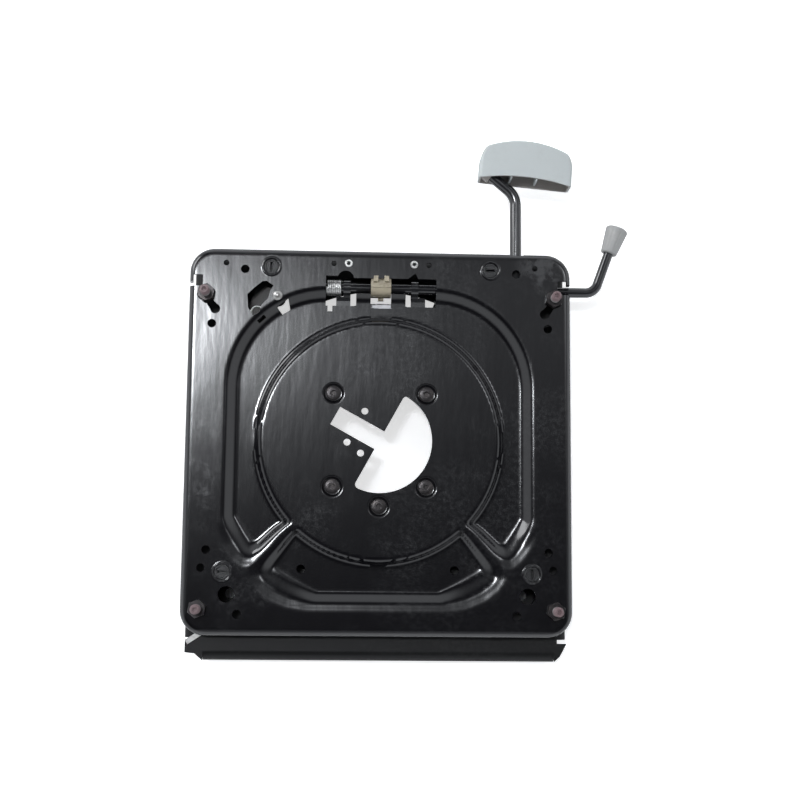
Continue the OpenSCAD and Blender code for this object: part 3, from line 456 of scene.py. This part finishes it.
# %% Hub screws
bm = bmesh.new()
screw_low, screw_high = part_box("hub_screws")
head_z = screw_high.z - 0.0034
head = [(0, 0.8), (2.5, 0.8), (2.5, 3.0), (3.1, 3.4), (6.2, 3.4), (7.1, 3.15), (7.6, 2.6), (7.7, 1.9),
        (7.7, 0), (4, 0)]
for x, y in screw_spots:
    profile = [(r * MM, 0, head_z + z * MM) for r, z in head] + [(0.004, 0, screw_low.z), (0, 0, screw_low.z)]
    turned_screw = bmesh.new()
    spin_profile(turned_screw, profile, (0, 0, 0), (0, 0, 1), 48)
    for v in turned_screw.verts:
        if 0.0024 < v.co.xy.length < 0.0026:
            side_angle = math.degrees(math.atan2(v.co.y, v.co.x)) % 60 - 30
            v.co.xy = v.co.xy / math.cos(math.radians(side_angle))
    shift(turned_screw, turned_screw.verts, (x * MM, y * MM, 0))
    add_part(bm, turned_screw)
screws = make_piece("socket_screws", bm, "turntable", 30)
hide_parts("hub_screws")
print("screws:", len(screws.data.polygons), "faces")

# %% Glide pads
bm = bmesh.new()
slots = bmesh.new()
pad_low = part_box("glide_pads")[0]
for (x, y), turn_by in zip(pad_spots, (90, 0, 0, 90)):
    profile = [(0, 0, pad_low.z), (0.0075, 0, pad_low.z), (0.009, 0, pad_low.z + 0.0015)]
    profile += [(r * MM, 0, plate_top + z * MM) for r, z in
                ((9, -3), (7.55, -3), (7.55, 0.1), (7.2, 0.5), (6.6, 0.6), (5.9, 0.5), (5.5, 0), (0, 0))]
    button = bmesh.new()
    spin_profile(button, profile, (0, 0, 0), (0, 0, 1), 48)
    shift(button, button.verts, (x * MM, y * MM, 0))
    add_part(bm, button)
    slot = bmesh.ops.create_cube(slots, size=1)["verts"]
    bmesh.ops.scale(slots, vec=(0.0096, 0.0027, 0.012), verts=slot)
    bmesh.ops.rotate(slots, verts=slot, cent=(0, 0, 0), matrix=Matrix.Rotation(math.radians(turn_by), 3, "Z"))
    shift(slots, slot, (x * MM, y * MM, plate_top + 0.0006))
pads = make_piece("slotted_pads", bm, "turntable", 30)
cut_away(pads, slots, 30)
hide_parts("glide_pads")
print("pads:", len(pads.data.polygons), "faces")

# %% [markdown]
# ## The paddle
# The grip is a thin moulded shell, open at its mouth. Its outline is drawn once, raised to the grip's
# height, rounded with a bevel, opened at the mouth and given its wall. The upper lip is drawn back in an
# arch, as in the photograph, so that the two ribs inside show. The points of the inner wall carry a value
# named hollow, which the finish reads to make the inside darker.

# %% Paddle shell
paddle_turn = Matrix.Rotation(math.radians(-5), 3, "Z")
paddle_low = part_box("paddle_handle")[0]
paddle_half, paddle_height, paddle_wall, lip_arch = 49.5, 0.025, 0.0024, 0.005
xs = [paddle_half * math.sin(math.radians(a)) for a in range(-90, 91, 5)]


def back_y(x):
    rounded = 45 if abs(x) <= 23.5 else 19 + math.sqrt(max(0, 26 ** 2 - (abs(x) - 23.5) ** 2))
    return min(rounded, -60 + math.sqrt(105 ** 2 - x * x))


outline = [(-paddle_half, 0)] + [(x, back_y(x)) for x in xs] + [(paddle_half, 0)]
bm = bmesh.new()
base = [bm.verts.new((x * MM, y * MM, 0)) for x, y in outline]
face = bm.faces.new(base)
made = bmesh.ops.extrude_face_region(bm, geom=[face])["geom"]
shift(bm, [g for g in made if isinstance(g, bmesh.types.BMVert)], (0, 0, paddle_height))
bmesh.ops.recalc_face_normals(bm, faces=bm.faces)
mouth = [f for f in bm.faces if all(v.co.y < 1e-5 for v in f.verts)]
bmesh.ops.delete(bm, geom=mouth, context="FACES_ONLY")
rims = [e for e in bm.edges if not e.is_boundary and abs(e.verts[0].co.z - e.verts[1].co.z) < 1e-6
        and not all(v.co.y < 1e-5 for v in e.verts)]
bmesh.ops.bevel(bm, geom=rims, offset=0.0036, segments=5, profile=0.5, affect="EDGES", material=-1,
                clamp_overlap=True)
bmesh.ops.recalc_face_normals(bm, faces=bm.faces)
top_face = max(bm.faces, key=lambda f: f.calc_center_median().z)
if top_face.normal.z < 0:
    bmesh.ops.reverse_faces(bm, faces=bm.faces)
lip = [e for e in bm.edges if e.is_boundary and e.calc_length() > 0.05 and e.verts[0].co.z > 0.02]
bmesh.ops.subdivide_edges(bm, edges=lip, cuts=19)
for v in bm.verts:
    if v.co.z > 0.0249 and v.co.y < 1e-5:
        v.co.y += lip_arch * max(0, 1 - (v.co.x / 0.0459) ** 2)
bmesh.ops.solidify(bm, geom=bm.faces[:], thickness=paddle_wall)
# The value hollow marks the inner wall, where the finish paints shade.
hollow = bm.verts.layers.float.new("hollow")
for v in bm.verts:
    within = 0.0012 < v.co.z < 0.0238 and abs(v.co.x) < 0.0483 and v.co.y < (back_y(v.co.x / MM) - 1.2) * MM
    v[hollow] = 1.0 if within else 0.0
paddle_spot = Vector((0.1525, 0.2795, paddle_low.z))


def to_paddle(bm, verts):
    bmesh.ops.rotate(bm, verts=verts, cent=(0, 0, 0), matrix=paddle_turn)
    shift(bm, verts, paddle_spot)


for x in (-15, 12):
    rib = bmesh.ops.create_cube(bm, size=1)["verts"]
    bmesh.ops.scale(bm, vec=(0.002, 0.0385, 0.0206), verts=rib)
    shift(bm, rib, (x * MM, 0.0222, 0.0125))
to_paddle(bm, bm.verts)
print("paddle shell:", len(bm.faces), "faces")

# %% Tube socket in the paddle
bend = math.radians(50)
along = Vector((-math.sin(bend), math.cos(bend), 0))
tube_end = Vector((0.1434 - 0.022 + 0.022 * math.cos(bend) - 0.027 * math.sin(bend),
                   0.256 + 0.022 * math.sin(bend) + 0.027 * math.cos(bend), shaft_z))
lay = Vector((0, 0, 1)).rotation_difference(along).to_matrix()
socket = [(0.0061, 0), (0.0084, 0), (0.0086, 0.0006), (0.0086, 0.0078), (0.0, 0.0078)]
made = bmesh.new()
spin_profile(made, [(r, 0, z) for r, z in socket], (0, 0, 0), (0, 0, 1), 40)
bmesh.ops.rotate(made, verts=made.verts, cent=(0, 0, 0), matrix=lay)
shift(made, made.verts, tube_end - 0.004 * along)
shell_points = len(bm.verts)
add_part(bm, made)
bm.verts.ensure_lookup_table()
for v in bm.verts[shell_points:]:
    v[hollow] = 1.0
paddle = make_piece("moulded_paddle", bm, "lever", 40)
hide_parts("paddle_handle")
print("paddle:", len(paddle.data.polygons), "faces")

# %% [markdown]
# ## The side lever's knob
# The knob widens towards its end and has eight shallow flutes. A spun profile gives the body, and the
# flutes are pressed in by moving its points towards the axis.

# %% Knob
bm = bmesh.new()
profile = [(0.0, 0), (7.4, 0), (8.3, 0.5), (8.7, 1.6)]
profile += [(8.7 + (11.6 - 8.7) * i / 12, 1.6 + 23.9 * i / 12) for i in range(1, 13)]
profile += [(11.85, 26.6), (11.6, 27.8), (10.7, 28.7), (9.6, 29.0), (0.0, 29.0)]
spin_profile(bm, [(r * MM, 0, z * MM) for r, z in profile], (0, 0, 0), (0, 0, 1), 96)
for v in bm.verts:
    r = v.co.xy.length
    if r > 0.0084 and 0.0028 < v.co.z < 0.0275:
        wave = max(0, math.cos(8 * math.atan2(v.co.y, v.co.x))) ** 4
        fade = min(1, (v.co.z - 0.0028) / 0.003, (0.0275 - v.co.z) / 0.001)
        scale = 1 - 0.0006 * wave * fade / r
        v.co.x *= scale
        v.co.y *= scale
lever_turn = math.radians(70)
tangent = 14 * math.tan(lever_turn / 2)
bend_end = Vector((227.7 - tangent + 14 * math.sin(lever_turn),
                   162 + 14 * (1 - math.cos(lever_turn)), 35.5)) * MM
reach = Vector((math.cos(lever_turn), math.sin(lever_turn), 0))
lay = Vector((0, 0, 1)).rotation_difference(reach).to_matrix()
bmesh.ops.rotate(bm, verts=bm.verts, cent=(0, 0, 0), matrix=lay)
shift(bm, bm.verts, bend_end + 0.0363 * reach)
knob = make_piece("fluted_knob", bm, "lever", 50)
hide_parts("lever_knob")
print("knob:", len(knob.data.polygons), "faces")

# %% [markdown]
# ## Shared effects
# Several finishes carry the same marks. Each effect is a node group that is built once: a mottle for uneven
# sheen and dust, fine scratches that run one way, and a grain for the skin of paint and plastic.

# %% Node group helpers
def new_group(name, inputs, outputs):
    group = bpy.data.node_groups.new(name, "ShaderNodeTree")
    for label, value in inputs:
        socket = group.interface.new_socket(name=label, in_out="INPUT", socket_type="NodeSocketFloat")
        socket.default_value = value
    for label in outputs:
        group.interface.new_socket(name=label, in_out="OUTPUT", socket_type="NodeSocketFloat")
    start = group.nodes.new("NodeGroupInput")
    end = group.nodes.new("NodeGroupOutput")
    place = group.nodes.new("ShaderNodeTexCoord")
    return group, start, end, place


def noise(tree, vector, scale, detail=4.0, rough=0.55):
    node = tree.nodes.new("ShaderNodeTexNoise")
    node.inputs["Detail"].default_value = detail
    node.inputs["Roughness"].default_value = rough
    if isinstance(scale, (int, float)):
        node.inputs["Scale"].default_value = scale
    else:
        tree.links.new(scale, node.inputs["Scale"])
    tree.links.new(vector, node.inputs["Vector"])
    return node.outputs["Fac"]


def ramp(tree, value, low, high):
    node = tree.nodes.new("ShaderNodeMapRange")
    node.interpolation_type = "SMOOTHSTEP"
    node.inputs["From Min"].default_value = low
    node.inputs["From Max"].default_value = high
    tree.links.new(value, node.inputs["Value"])
    return node.outputs["Result"]


def maths(tree, operation, a, b):
    node = tree.nodes.new("ShaderNodeMath")
    node.operation = operation
    for i, value in enumerate((a, b)):
        if isinstance(value, (int, float)):
            node.inputs[i].default_value = value
        else:
            tree.links.new(value, node.inputs[i])
    return node.outputs["Value"]


def coordinates(tree):
    place = tree.nodes.new("ShaderNodeTexCoord")
    split = tree.nodes.new("ShaderNodeSeparateXYZ")
    tree.links.new(place.outputs["Object"], split.inputs["Vector"])
    return place.outputs["Object"], *split.outputs


def distance(tree, x, y, spot):
    off_x = maths(tree, "SUBTRACT", x, spot[0])
    off_y = maths(tree, "SUBTRACT", y, spot[1])
    squares = maths(tree, "ADD", maths(tree, "POWER", off_x, 2), maths(tree, "POWER", off_y, 2))
    return maths(tree, "SQRT", squares, 0)


def tint(tree, mask, colour):
    base = tree.nodes["Principled BSDF"].inputs["Base Color"]
    mix = tree.nodes.new("ShaderNodeMix")
    mix.data_type = "RGBA"
    mix.inputs[7].default_value = (*colour, 1)
    tree.links.new(mask, mix.inputs[0])
    tree.links.new(base.links[0].from_socket, mix.inputs[6])
    tree.links.new(mix.outputs[2], base)


print("node helpers ready")

# %% Mottle, scratches and grain
mottle, start, end, place = new_group("mottle", [("Scale", 20.0), ("Amount", 0.5)], ["Mask"])
broad = noise(mottle, place.outputs["Object"], start.outputs["Scale"], 6.0, 0.62)
spots = noise(mottle, place.outputs["Object"], 240.0, 3.0, 0.6)
mask = maths(mottle, "MULTIPLY", ramp(mottle, broad, 0.42, 0.68), ramp(mottle, spots, 0.32, 0.7))
mottle.links.new(maths(mottle, "MULTIPLY", mask, start.outputs["Amount"]), end.inputs["Mask"])

scratches, start, end, place = new_group("scratches", [("Scale", 30.0), ("Amount", 0.5)], ["Mask"])
stretch = scratches.nodes.new("ShaderNodeMapping")
stretch.inputs["Rotation"].default_value = (0, 0, math.radians(38))
stretch.inputs["Scale"].default_value = (0.9, 14.0, 4.0)
scratches.links.new(place.outputs["Object"], stretch.inputs["Vector"])
lines = ramp(scratches, noise(scratches, stretch.outputs["Vector"], start.outputs["Scale"], 2.0, 0.5), 0.63, 0.7)
patches = ramp(scratches, noise(scratches, place.outputs["Object"], 9.0, 2.0), 0.5, 0.65)
mask = maths(scratches, "MULTIPLY", lines, patches)
scratches.links.new(maths(scratches, "MULTIPLY", mask, start.outputs["Amount"]), end.inputs["Mask"])

grain, start, end, place = new_group("grain", [("Scale", 900.0)], ["Height"])
grain.links.new(noise(grain, place.outputs["Object"], start.outputs["Scale"], 2.0, 0.5), end.inputs["Height"])
print("groups:", mottle.name, scratches.name, grain.name)

# %% [markdown]
# ## Finishes
# Each material mixes its clean colour with dust through the mottle and lightens it along the scratches. Its
# roughness changes with the same marks, and the grain gives a slight bump.

# %% Material helper
def finish(name, colour, dust, metallic, rough, rough_dust, mottle_scale=14.0, mottle_amount=0.5, scratch=0.3,
           grain_scale=900.0, bump=0.05, coat=0.0):
    material = bpy.data.materials.new(name)
    material.use_nodes = True
    tree = material.node_tree
    surface = tree.nodes["Principled BSDF"]
    marks = tree.nodes.new("ShaderNodeGroup")
    marks.node_tree = mottle
    marks.inputs["Scale"].default_value = mottle_scale
    marks.inputs["Amount"].default_value = mottle_amount
    lines = tree.nodes.new("ShaderNodeGroup")
    lines.node_tree = scratches
    lines.inputs["Amount"].default_value = scratch
    both = maths(tree, "MAXIMUM", marks.outputs["Mask"], lines.outputs["Mask"])
    mix = tree.nodes.new("ShaderNodeMix")
    mix.data_type = "RGBA"
    mix.inputs[6].default_value = (*colour, 1)
    mix.inputs[7].default_value = (*dust, 1)
    tree.links.new(both, mix.inputs[0])
    tree.links.new(mix.outputs[2], surface.inputs["Base Color"])
    sheen = tree.nodes.new("ShaderNodeMapRange")
    sheen.inputs["To Min"].default_value = rough
    sheen.inputs["To Max"].default_value = rough_dust
    tree.links.new(both, sheen.inputs["Value"])
    tree.links.new(sheen.outputs["Result"], surface.inputs["Roughness"])
    surface.inputs["Metallic"].default_value = metallic
    surface.inputs["Coat Weight"].default_value = coat
    surface.inputs["Coat Roughness"].default_value = rough * 0.8
    skin = tree.nodes.new("ShaderNodeGroup")
    skin.node_tree = grain
    skin.inputs["Scale"].default_value = grain_scale
    relief = tree.nodes.new("ShaderNodeBump")
    relief.inputs["Strength"].default_value = bump
    relief.inputs["Distance"].default_value = 0.0004
    tree.links.new(skin.outputs["Height"], relief.inputs["Height"])
    tree.links.new(relief.outputs["Normal"], surface.inputs["Normal"])
    return material


plate_paint = finish("satin black paint", (0.0035, 0.0033, 0.0045), (0.022, 0.022, 0.024), 0.0, 0.1, 0.34,
                     11.0, 0.45, 0.12, 700.0, 0.03, 0.35)
frame_paint = finish("dusty black paint", (0.003, 0.003, 0.0035), (0.018, 0.018, 0.018), 0.0, 0.42, 0.62,
                     12.0, 0.4, 0.3, 700.0, 0.08)
lever_paint = finish("lever paint", (0.012, 0.012, 0.014), (0.05, 0.05, 0.05), 0.0, 0.12, 0.3,
                     30.0, 0.3, 0.3, 900.0, 0.03, 0.8)
pawl_paint = finish("pawl paint", (0.018, 0.013, 0.012), (0.06, 0.045, 0.04), 0.0, 0.45, 0.6, 60.0, 0.5, 0.3)
oxide = finish("black oxide", (0.035, 0.032, 0.033), (0.12, 0.105, 0.10), 0.7, 0.3, 0.55, 60.0, 0.6, 0.4)
zinc = finish("zinc plate", (0.50, 0.50, 0.49), (0.24, 0.22, 0.20), 1.0, 0.3, 0.55, 60.0, 0.6, 0.3)
spring_wire = finish("spring wire", (0.74, 0.74, 0.73), (0.36, 0.34, 0.32), 1.0, 0.38, 0.55, 90.0, 0.4, 0.2)
steel = finish("oiled steel", (0.33, 0.33, 0.34), (0.12, 0.10, 0.08), 1.0, 0.34, 0.55, 25.0, 0.6, 0.4)
nylon = finish("natural nylon", (0.42, 0.37, 0.27), (0.16, 0.13, 0.09), 0.0, 0.45, 0.6, 60.0, 0.6, 0.2)
pad_nylon = finish("black nylon", (0.008, 0.008, 0.009), (0.02, 0.02, 0.02), 0.0, 0.42, 0.55,
                   60.0, 0.3, 0.1, 900.0, 0.01)
paddle_skin = finish("grained grey plastic", (0.53, 0.565, 0.565), (0.44, 0.465, 0.46), 0.0, 0.5, 0.62,
                     45.0, 0.3, 0.1, 1500.0, 0.2)
knob_skin = finish("worn grey plastic", (0.37, 0.37, 0.365), (0.47, 0.47, 0.45), 0.0, 0.5, 0.6,
                   60.0, 0.5, 0.2, 1500.0, 0.2)
frame_paint.node_tree.nodes["Principled BSDF"].inputs["Specular IOR Level"].default_value = 0.3
print("finishes:", len(bpy.data.materials))

# %% [markdown]
# The plate's paint has marks of its own. Its rolled edge is painted a lighter grey all round, a painted
# reflection of light on the roll, the front right corner is scuffed to the same grey, and the sheet has
# slight streaky waves along Y from rolling, which break up the window's sheen.

# %% Painted rim reflection, scuffs and rolled waves on the plate
tree = plate_paint.node_tree
where, x, y, z = coordinates(tree)
outermost = maths(tree, "MAXIMUM", maths(tree, "ABSOLUTE", x, 0), maths(tree, "ABSOLUTE", y, 0))
# Painted reflection: a band along the rolled edge, which the tint below makes lighter grey.
edge = ramp(tree, outermost, 0.1925, 0.197)
scuffed = maths(tree, "MULTIPLY", ramp(tree, distance(tree, x, y, (0.172, 0.184)), 0.036, 0.010),
                ramp(tree, noise(tree, where, 70.0, 6.0), 0.42, 0.62))
worn = maths(tree, "MAXIMUM", edge, scuffed)
# The tint joins the painted rim reflection with the real scuffs at the front right corner.
tint(tree, maths(tree, "MULTIPLY", worn, 0.8), (0.06, 0.06, 0.062))
stretch = tree.nodes.new("ShaderNodeMapping")
stretch.inputs["Scale"].default_value = (1.0, 0.22, 1.0)
tree.links.new(where, stretch.inputs["Vector"])
waves = tree.nodes.new("ShaderNodeBump")
waves.inputs["Strength"].default_value = 1.0
waves.inputs["Distance"].default_value = 0.00026
tree.links.new(noise(tree, stretch.outputs["Vector"], 55.0, 3.0), waves.inputs["Height"])
grain_bump = tree.nodes["Principled BSDF"].inputs["Normal"].links[0].from_node
tree.links.new(waves.outputs["Normal"], grain_bump.inputs["Normal"])
print("plate paint ready")

# %% [markdown]
# The paddle's tube is glossy only where hands and cloths reach it. Under the plate its paint is dull with
# dust.

# %% Dull end of the tube
tube_paint = lever_paint.copy()
tube_paint.name = "tube paint"
tree = tube_paint.node_tree
surface = tree.nodes["Principled BSDF"]
where, x, y, z = coordinates(tree)
open_part = ramp(tree, y, 0.186, 0.196)
dull = maths(tree, "MULTIPLY", maths(tree, "SUBTRACT", 1.0, open_part), 0.7)
rough = maths(tree, "MAXIMUM", surface.inputs["Roughness"].links[0].from_socket, dull)
tree.links.new(rough, surface.inputs["Roughness"])
tree.links.new(maths(tree, "MULTIPLY", open_part, 0.8), surface.inputs["Coat Weight"])
print("tube paint ready")

# %% [markdown]
# The paddle's hollow is painted darker than its outside, as painted shade under the grip's walls. The mesh's
# own value says which points are inside.

# %% Painted shade in the hollow of the paddle
tree = paddle_skin.node_tree
inside = tree.nodes.new("ShaderNodeAttribute")
inside.attribute_name = "hollow"
# Painted shade: the inner wall is tinted darker than the outside.
tint(tree, inside.outputs["Fac"], (0.40, 0.375, 0.355))
print("paddle skin ready")

# %% [markdown]
# The studs carry a ring of pink thread-lock. Its place is a band of height on the stud with a ragged
# border, so the mask joins a height from the Object coordinates with some noise.

# %% Thread-locked studs
stud_metal = finish("stud metal", (0.20, 0.19, 0.19), (0.07, 0.06, 0.06), 0.9, 0.38, 0.6, 90.0, 0.7, 0.2)
tree = stud_metal.node_tree
surface = tree.nodes["Principled BSDF"]
where, x, y, z = coordinates(tree)
ragged = maths(tree, "MULTIPLY", noise(tree, where, 260.0, 3.0), 0.008)
band = ramp(tree, maths(tree, "ADD", z, ragged), plate_top + 0.0165, plate_top + 0.0185)
tint(tree, band, (0.17, 0.115, 0.12))
tree.links.new(maths(tree, "SUBTRACT", 0.9, maths(tree, "MULTIPLY", band, 0.9)), surface.inputs["Metallic"])
print("stud finish ready")

# %% Hand out the finishes
finishes = {
    "base_frame": frame_paint, "lock_ring": steel, "ring_rivets": zinc, "lower_race": steel, "ball_cage": nylon,
    "bearing_balls": steel, "upper_race": steel, "hub_ring": steel, "slide_washer": nylon,
    "retaining_ring": steel, "hub_screws": oxide, "hub_nuts": zinc, "upper_plate": plate_paint,
    "seat_studs": stud_metal, "seat_nuts": oxide, "glide_pads": pad_nylon, "cable_eyelets": zinc,
    "shaft_bracket_left": frame_paint, "shaft_bracket_middle": frame_paint, "shaft_bracket_right": frame_paint,
    "shaft_clip": nylon, "release_shaft": lever_paint, "shaft_end_clip": zinc, "lock_finger_left": lever_paint,
    "lock_finger_right": lever_paint, "lock_spring": spring_wire, "paddle_tube": tube_paint,
    "paddle_handle": paddle_skin, "lever_knob": knob_skin, "detent_pawl": pawl_paint, "detent_rivet": zinc,
    "detent_spring": spring_wire, "corner_clip": zinc, "clip_rivet": zinc,
}
for name, material in finishes.items():
    nodes[name].data.materials.clear()
    nodes[name].data.materials.append(material)
for piece, material in ((plate, plate_paint), (screws, oxide), (pads, pad_nylon), (lock_spring, spring_wire),
                        (detent_spring, spring_wire), (studs, stud_metal), (paddle, paddle_skin), (knob, knob_skin)):
    piece.data.materials.clear()
    piece.data.materials.append(material)
print("dressed:", len(finishes), "nodes")

# %% [markdown]
# ## Floor and light
# The photograph looks straight down on a white ground. A white floor lies under the feet. For the camera it
# also glows a little, so that it stays white while the object's shadow still shows on it. The four places
# under the foot cups are left out of the glow, because no light reaches them.

# %% Floor
bpy.ops.mesh.primitive_plane_add(size=12, location=(0, 0, 0))
floor = bpy.context.object
floor.name = "floor"
ground = bpy.data.materials.new("white ground")
ground.use_nodes = True
tree = ground.node_tree
surface = tree.nodes["Principled BSDF"]
surface.inputs["Base Color"].default_value = (0.9, 0.9, 0.9, 1)
surface.inputs["Roughness"].default_value = 0.9
surface.inputs["Emission Color"].default_value = (1, 1, 1, 1)
ray = tree.nodes.new("ShaderNodeLightPath")
where, x, y, z = coordinates(tree)
foot_cup, dark_radius, floor_glow = (0.1535, 0.1585), 0.026, 0.62
away = distance(tree, maths(tree, "ABSOLUTE", x, 0), maths(tree, "ABSOLUTE", y, 0), foot_cup)
glow = maths(tree, "MULTIPLY", maths(tree, "GREATER_THAN", away, dark_radius), floor_glow)
tree.links.new(maths(tree, "MULTIPLY", ray.outputs["Is Camera Ray"], glow), surface.inputs["Emission Strength"])
floor.data.materials.append(ground)

# %% [markdown]
# The sky over the object is built from directions. The photograph's bluish sheen on the left and the bright
# lines on the far walls are one window's reflection, so the sky has one bright patch, up and to the left,
# that fades evenly. A weaker one to the right lights the pockets' left corners. A pale band round the
# horizon lights the plastic grips, and overhead it is dark, so flat paint stays black.

# %% World
world = bpy.data.worlds.new("studio")
bpy.context.scene.world = world
world.use_nodes = True
tree = world.node_tree
place = tree.nodes.new("ShaderNodeTexCoord")
split = tree.nodes.new("ShaderNodeSeparateXYZ")
tree.links.new(place.outputs["Generated"], split.inputs["Vector"])
x, y, z = split.outputs
above = maths(tree, "MAXIMUM", z, 0.02)
lean_x = maths(tree, "DIVIDE", x, above)
lean_y = maths(tree, "DIVIDE", y, above)


def window(centre, widths, strength):
    off_x = maths(tree, "DIVIDE", maths(tree, "SUBTRACT", lean_x, centre[0]), widths[0])
    off_y = maths(tree, "DIVIDE", maths(tree, "SUBTRACT", lean_y, centre[1]), widths[1])
    squares = maths(tree, "ADD", maths(tree, "POWER", off_x, 2), maths(tree, "POWER", off_y, 2))
    return maths(tree, "DIVIDE", strength, maths(tree, "POWER", maths(tree, "ADD", 1.0, squares), 2.0))


window_light = maths(tree, "ADD", window((-0.23, 0.19), (0.079, 0.034), 145.0),
                     window((0.38, 0.30), (0.10, 0.09), 8.0))
low_band = maths(tree, "MULTIPLY", ramp(tree, maths(tree, "MULTIPLY", z, -1.0), -0.86, -0.45), 0.95)
light = maths(tree, "ADD", 0.04, maths(tree, "ADD", low_band, window_light))
background = tree.nodes["Background"]
background.inputs["Color"].default_value = (0.93, 0.96, 1.0, 1)
tree.links.new(light, background.inputs["Strength"])
print("sky ready")

# %% Key lamp
key_data = bpy.data.lights.new("key", "AREA")
key_data.shape = "RECTANGLE"
key_data.size, key_data.size_y = 0.8, 0.8
key_data.energy = 12
key_data.color = (0.97, 0.98, 1.0)
key = bpy.data.objects.new("key", key_data)
key.location = (-1.3, 1.0, 1.0)
aim = Vector((-0.05, 0.05, 0.0))
key.rotation_euler = (aim - key.location).to_track_quat("-Z", "Y").to_euler()
bpy.context.scene.collection.objects.link(key)
print("lamp ready")

# %% [markdown]
# ## Camera
# The camera's place was fitted to the photograph: almost straight above, a little left of the swivel axis
# and a little to the rear.

# %% Camera
camera_data = bpy.data.cameras.new("camera")
camera_data.lens = 56.25
camera_data.sensor_width = 36
camera = bpy.data.objects.new("camera", camera_data)
camera.location = (-0.0384, -0.1231, 1.3331)
camera.rotation_euler = (math.radians(7.299), math.radians(-2.711), math.radians(0.556))
bpy.context.scene.collection.objects.link(camera)
bpy.context.scene.camera = camera
bpy.context.scene.view_settings.view_transform = "Standard"
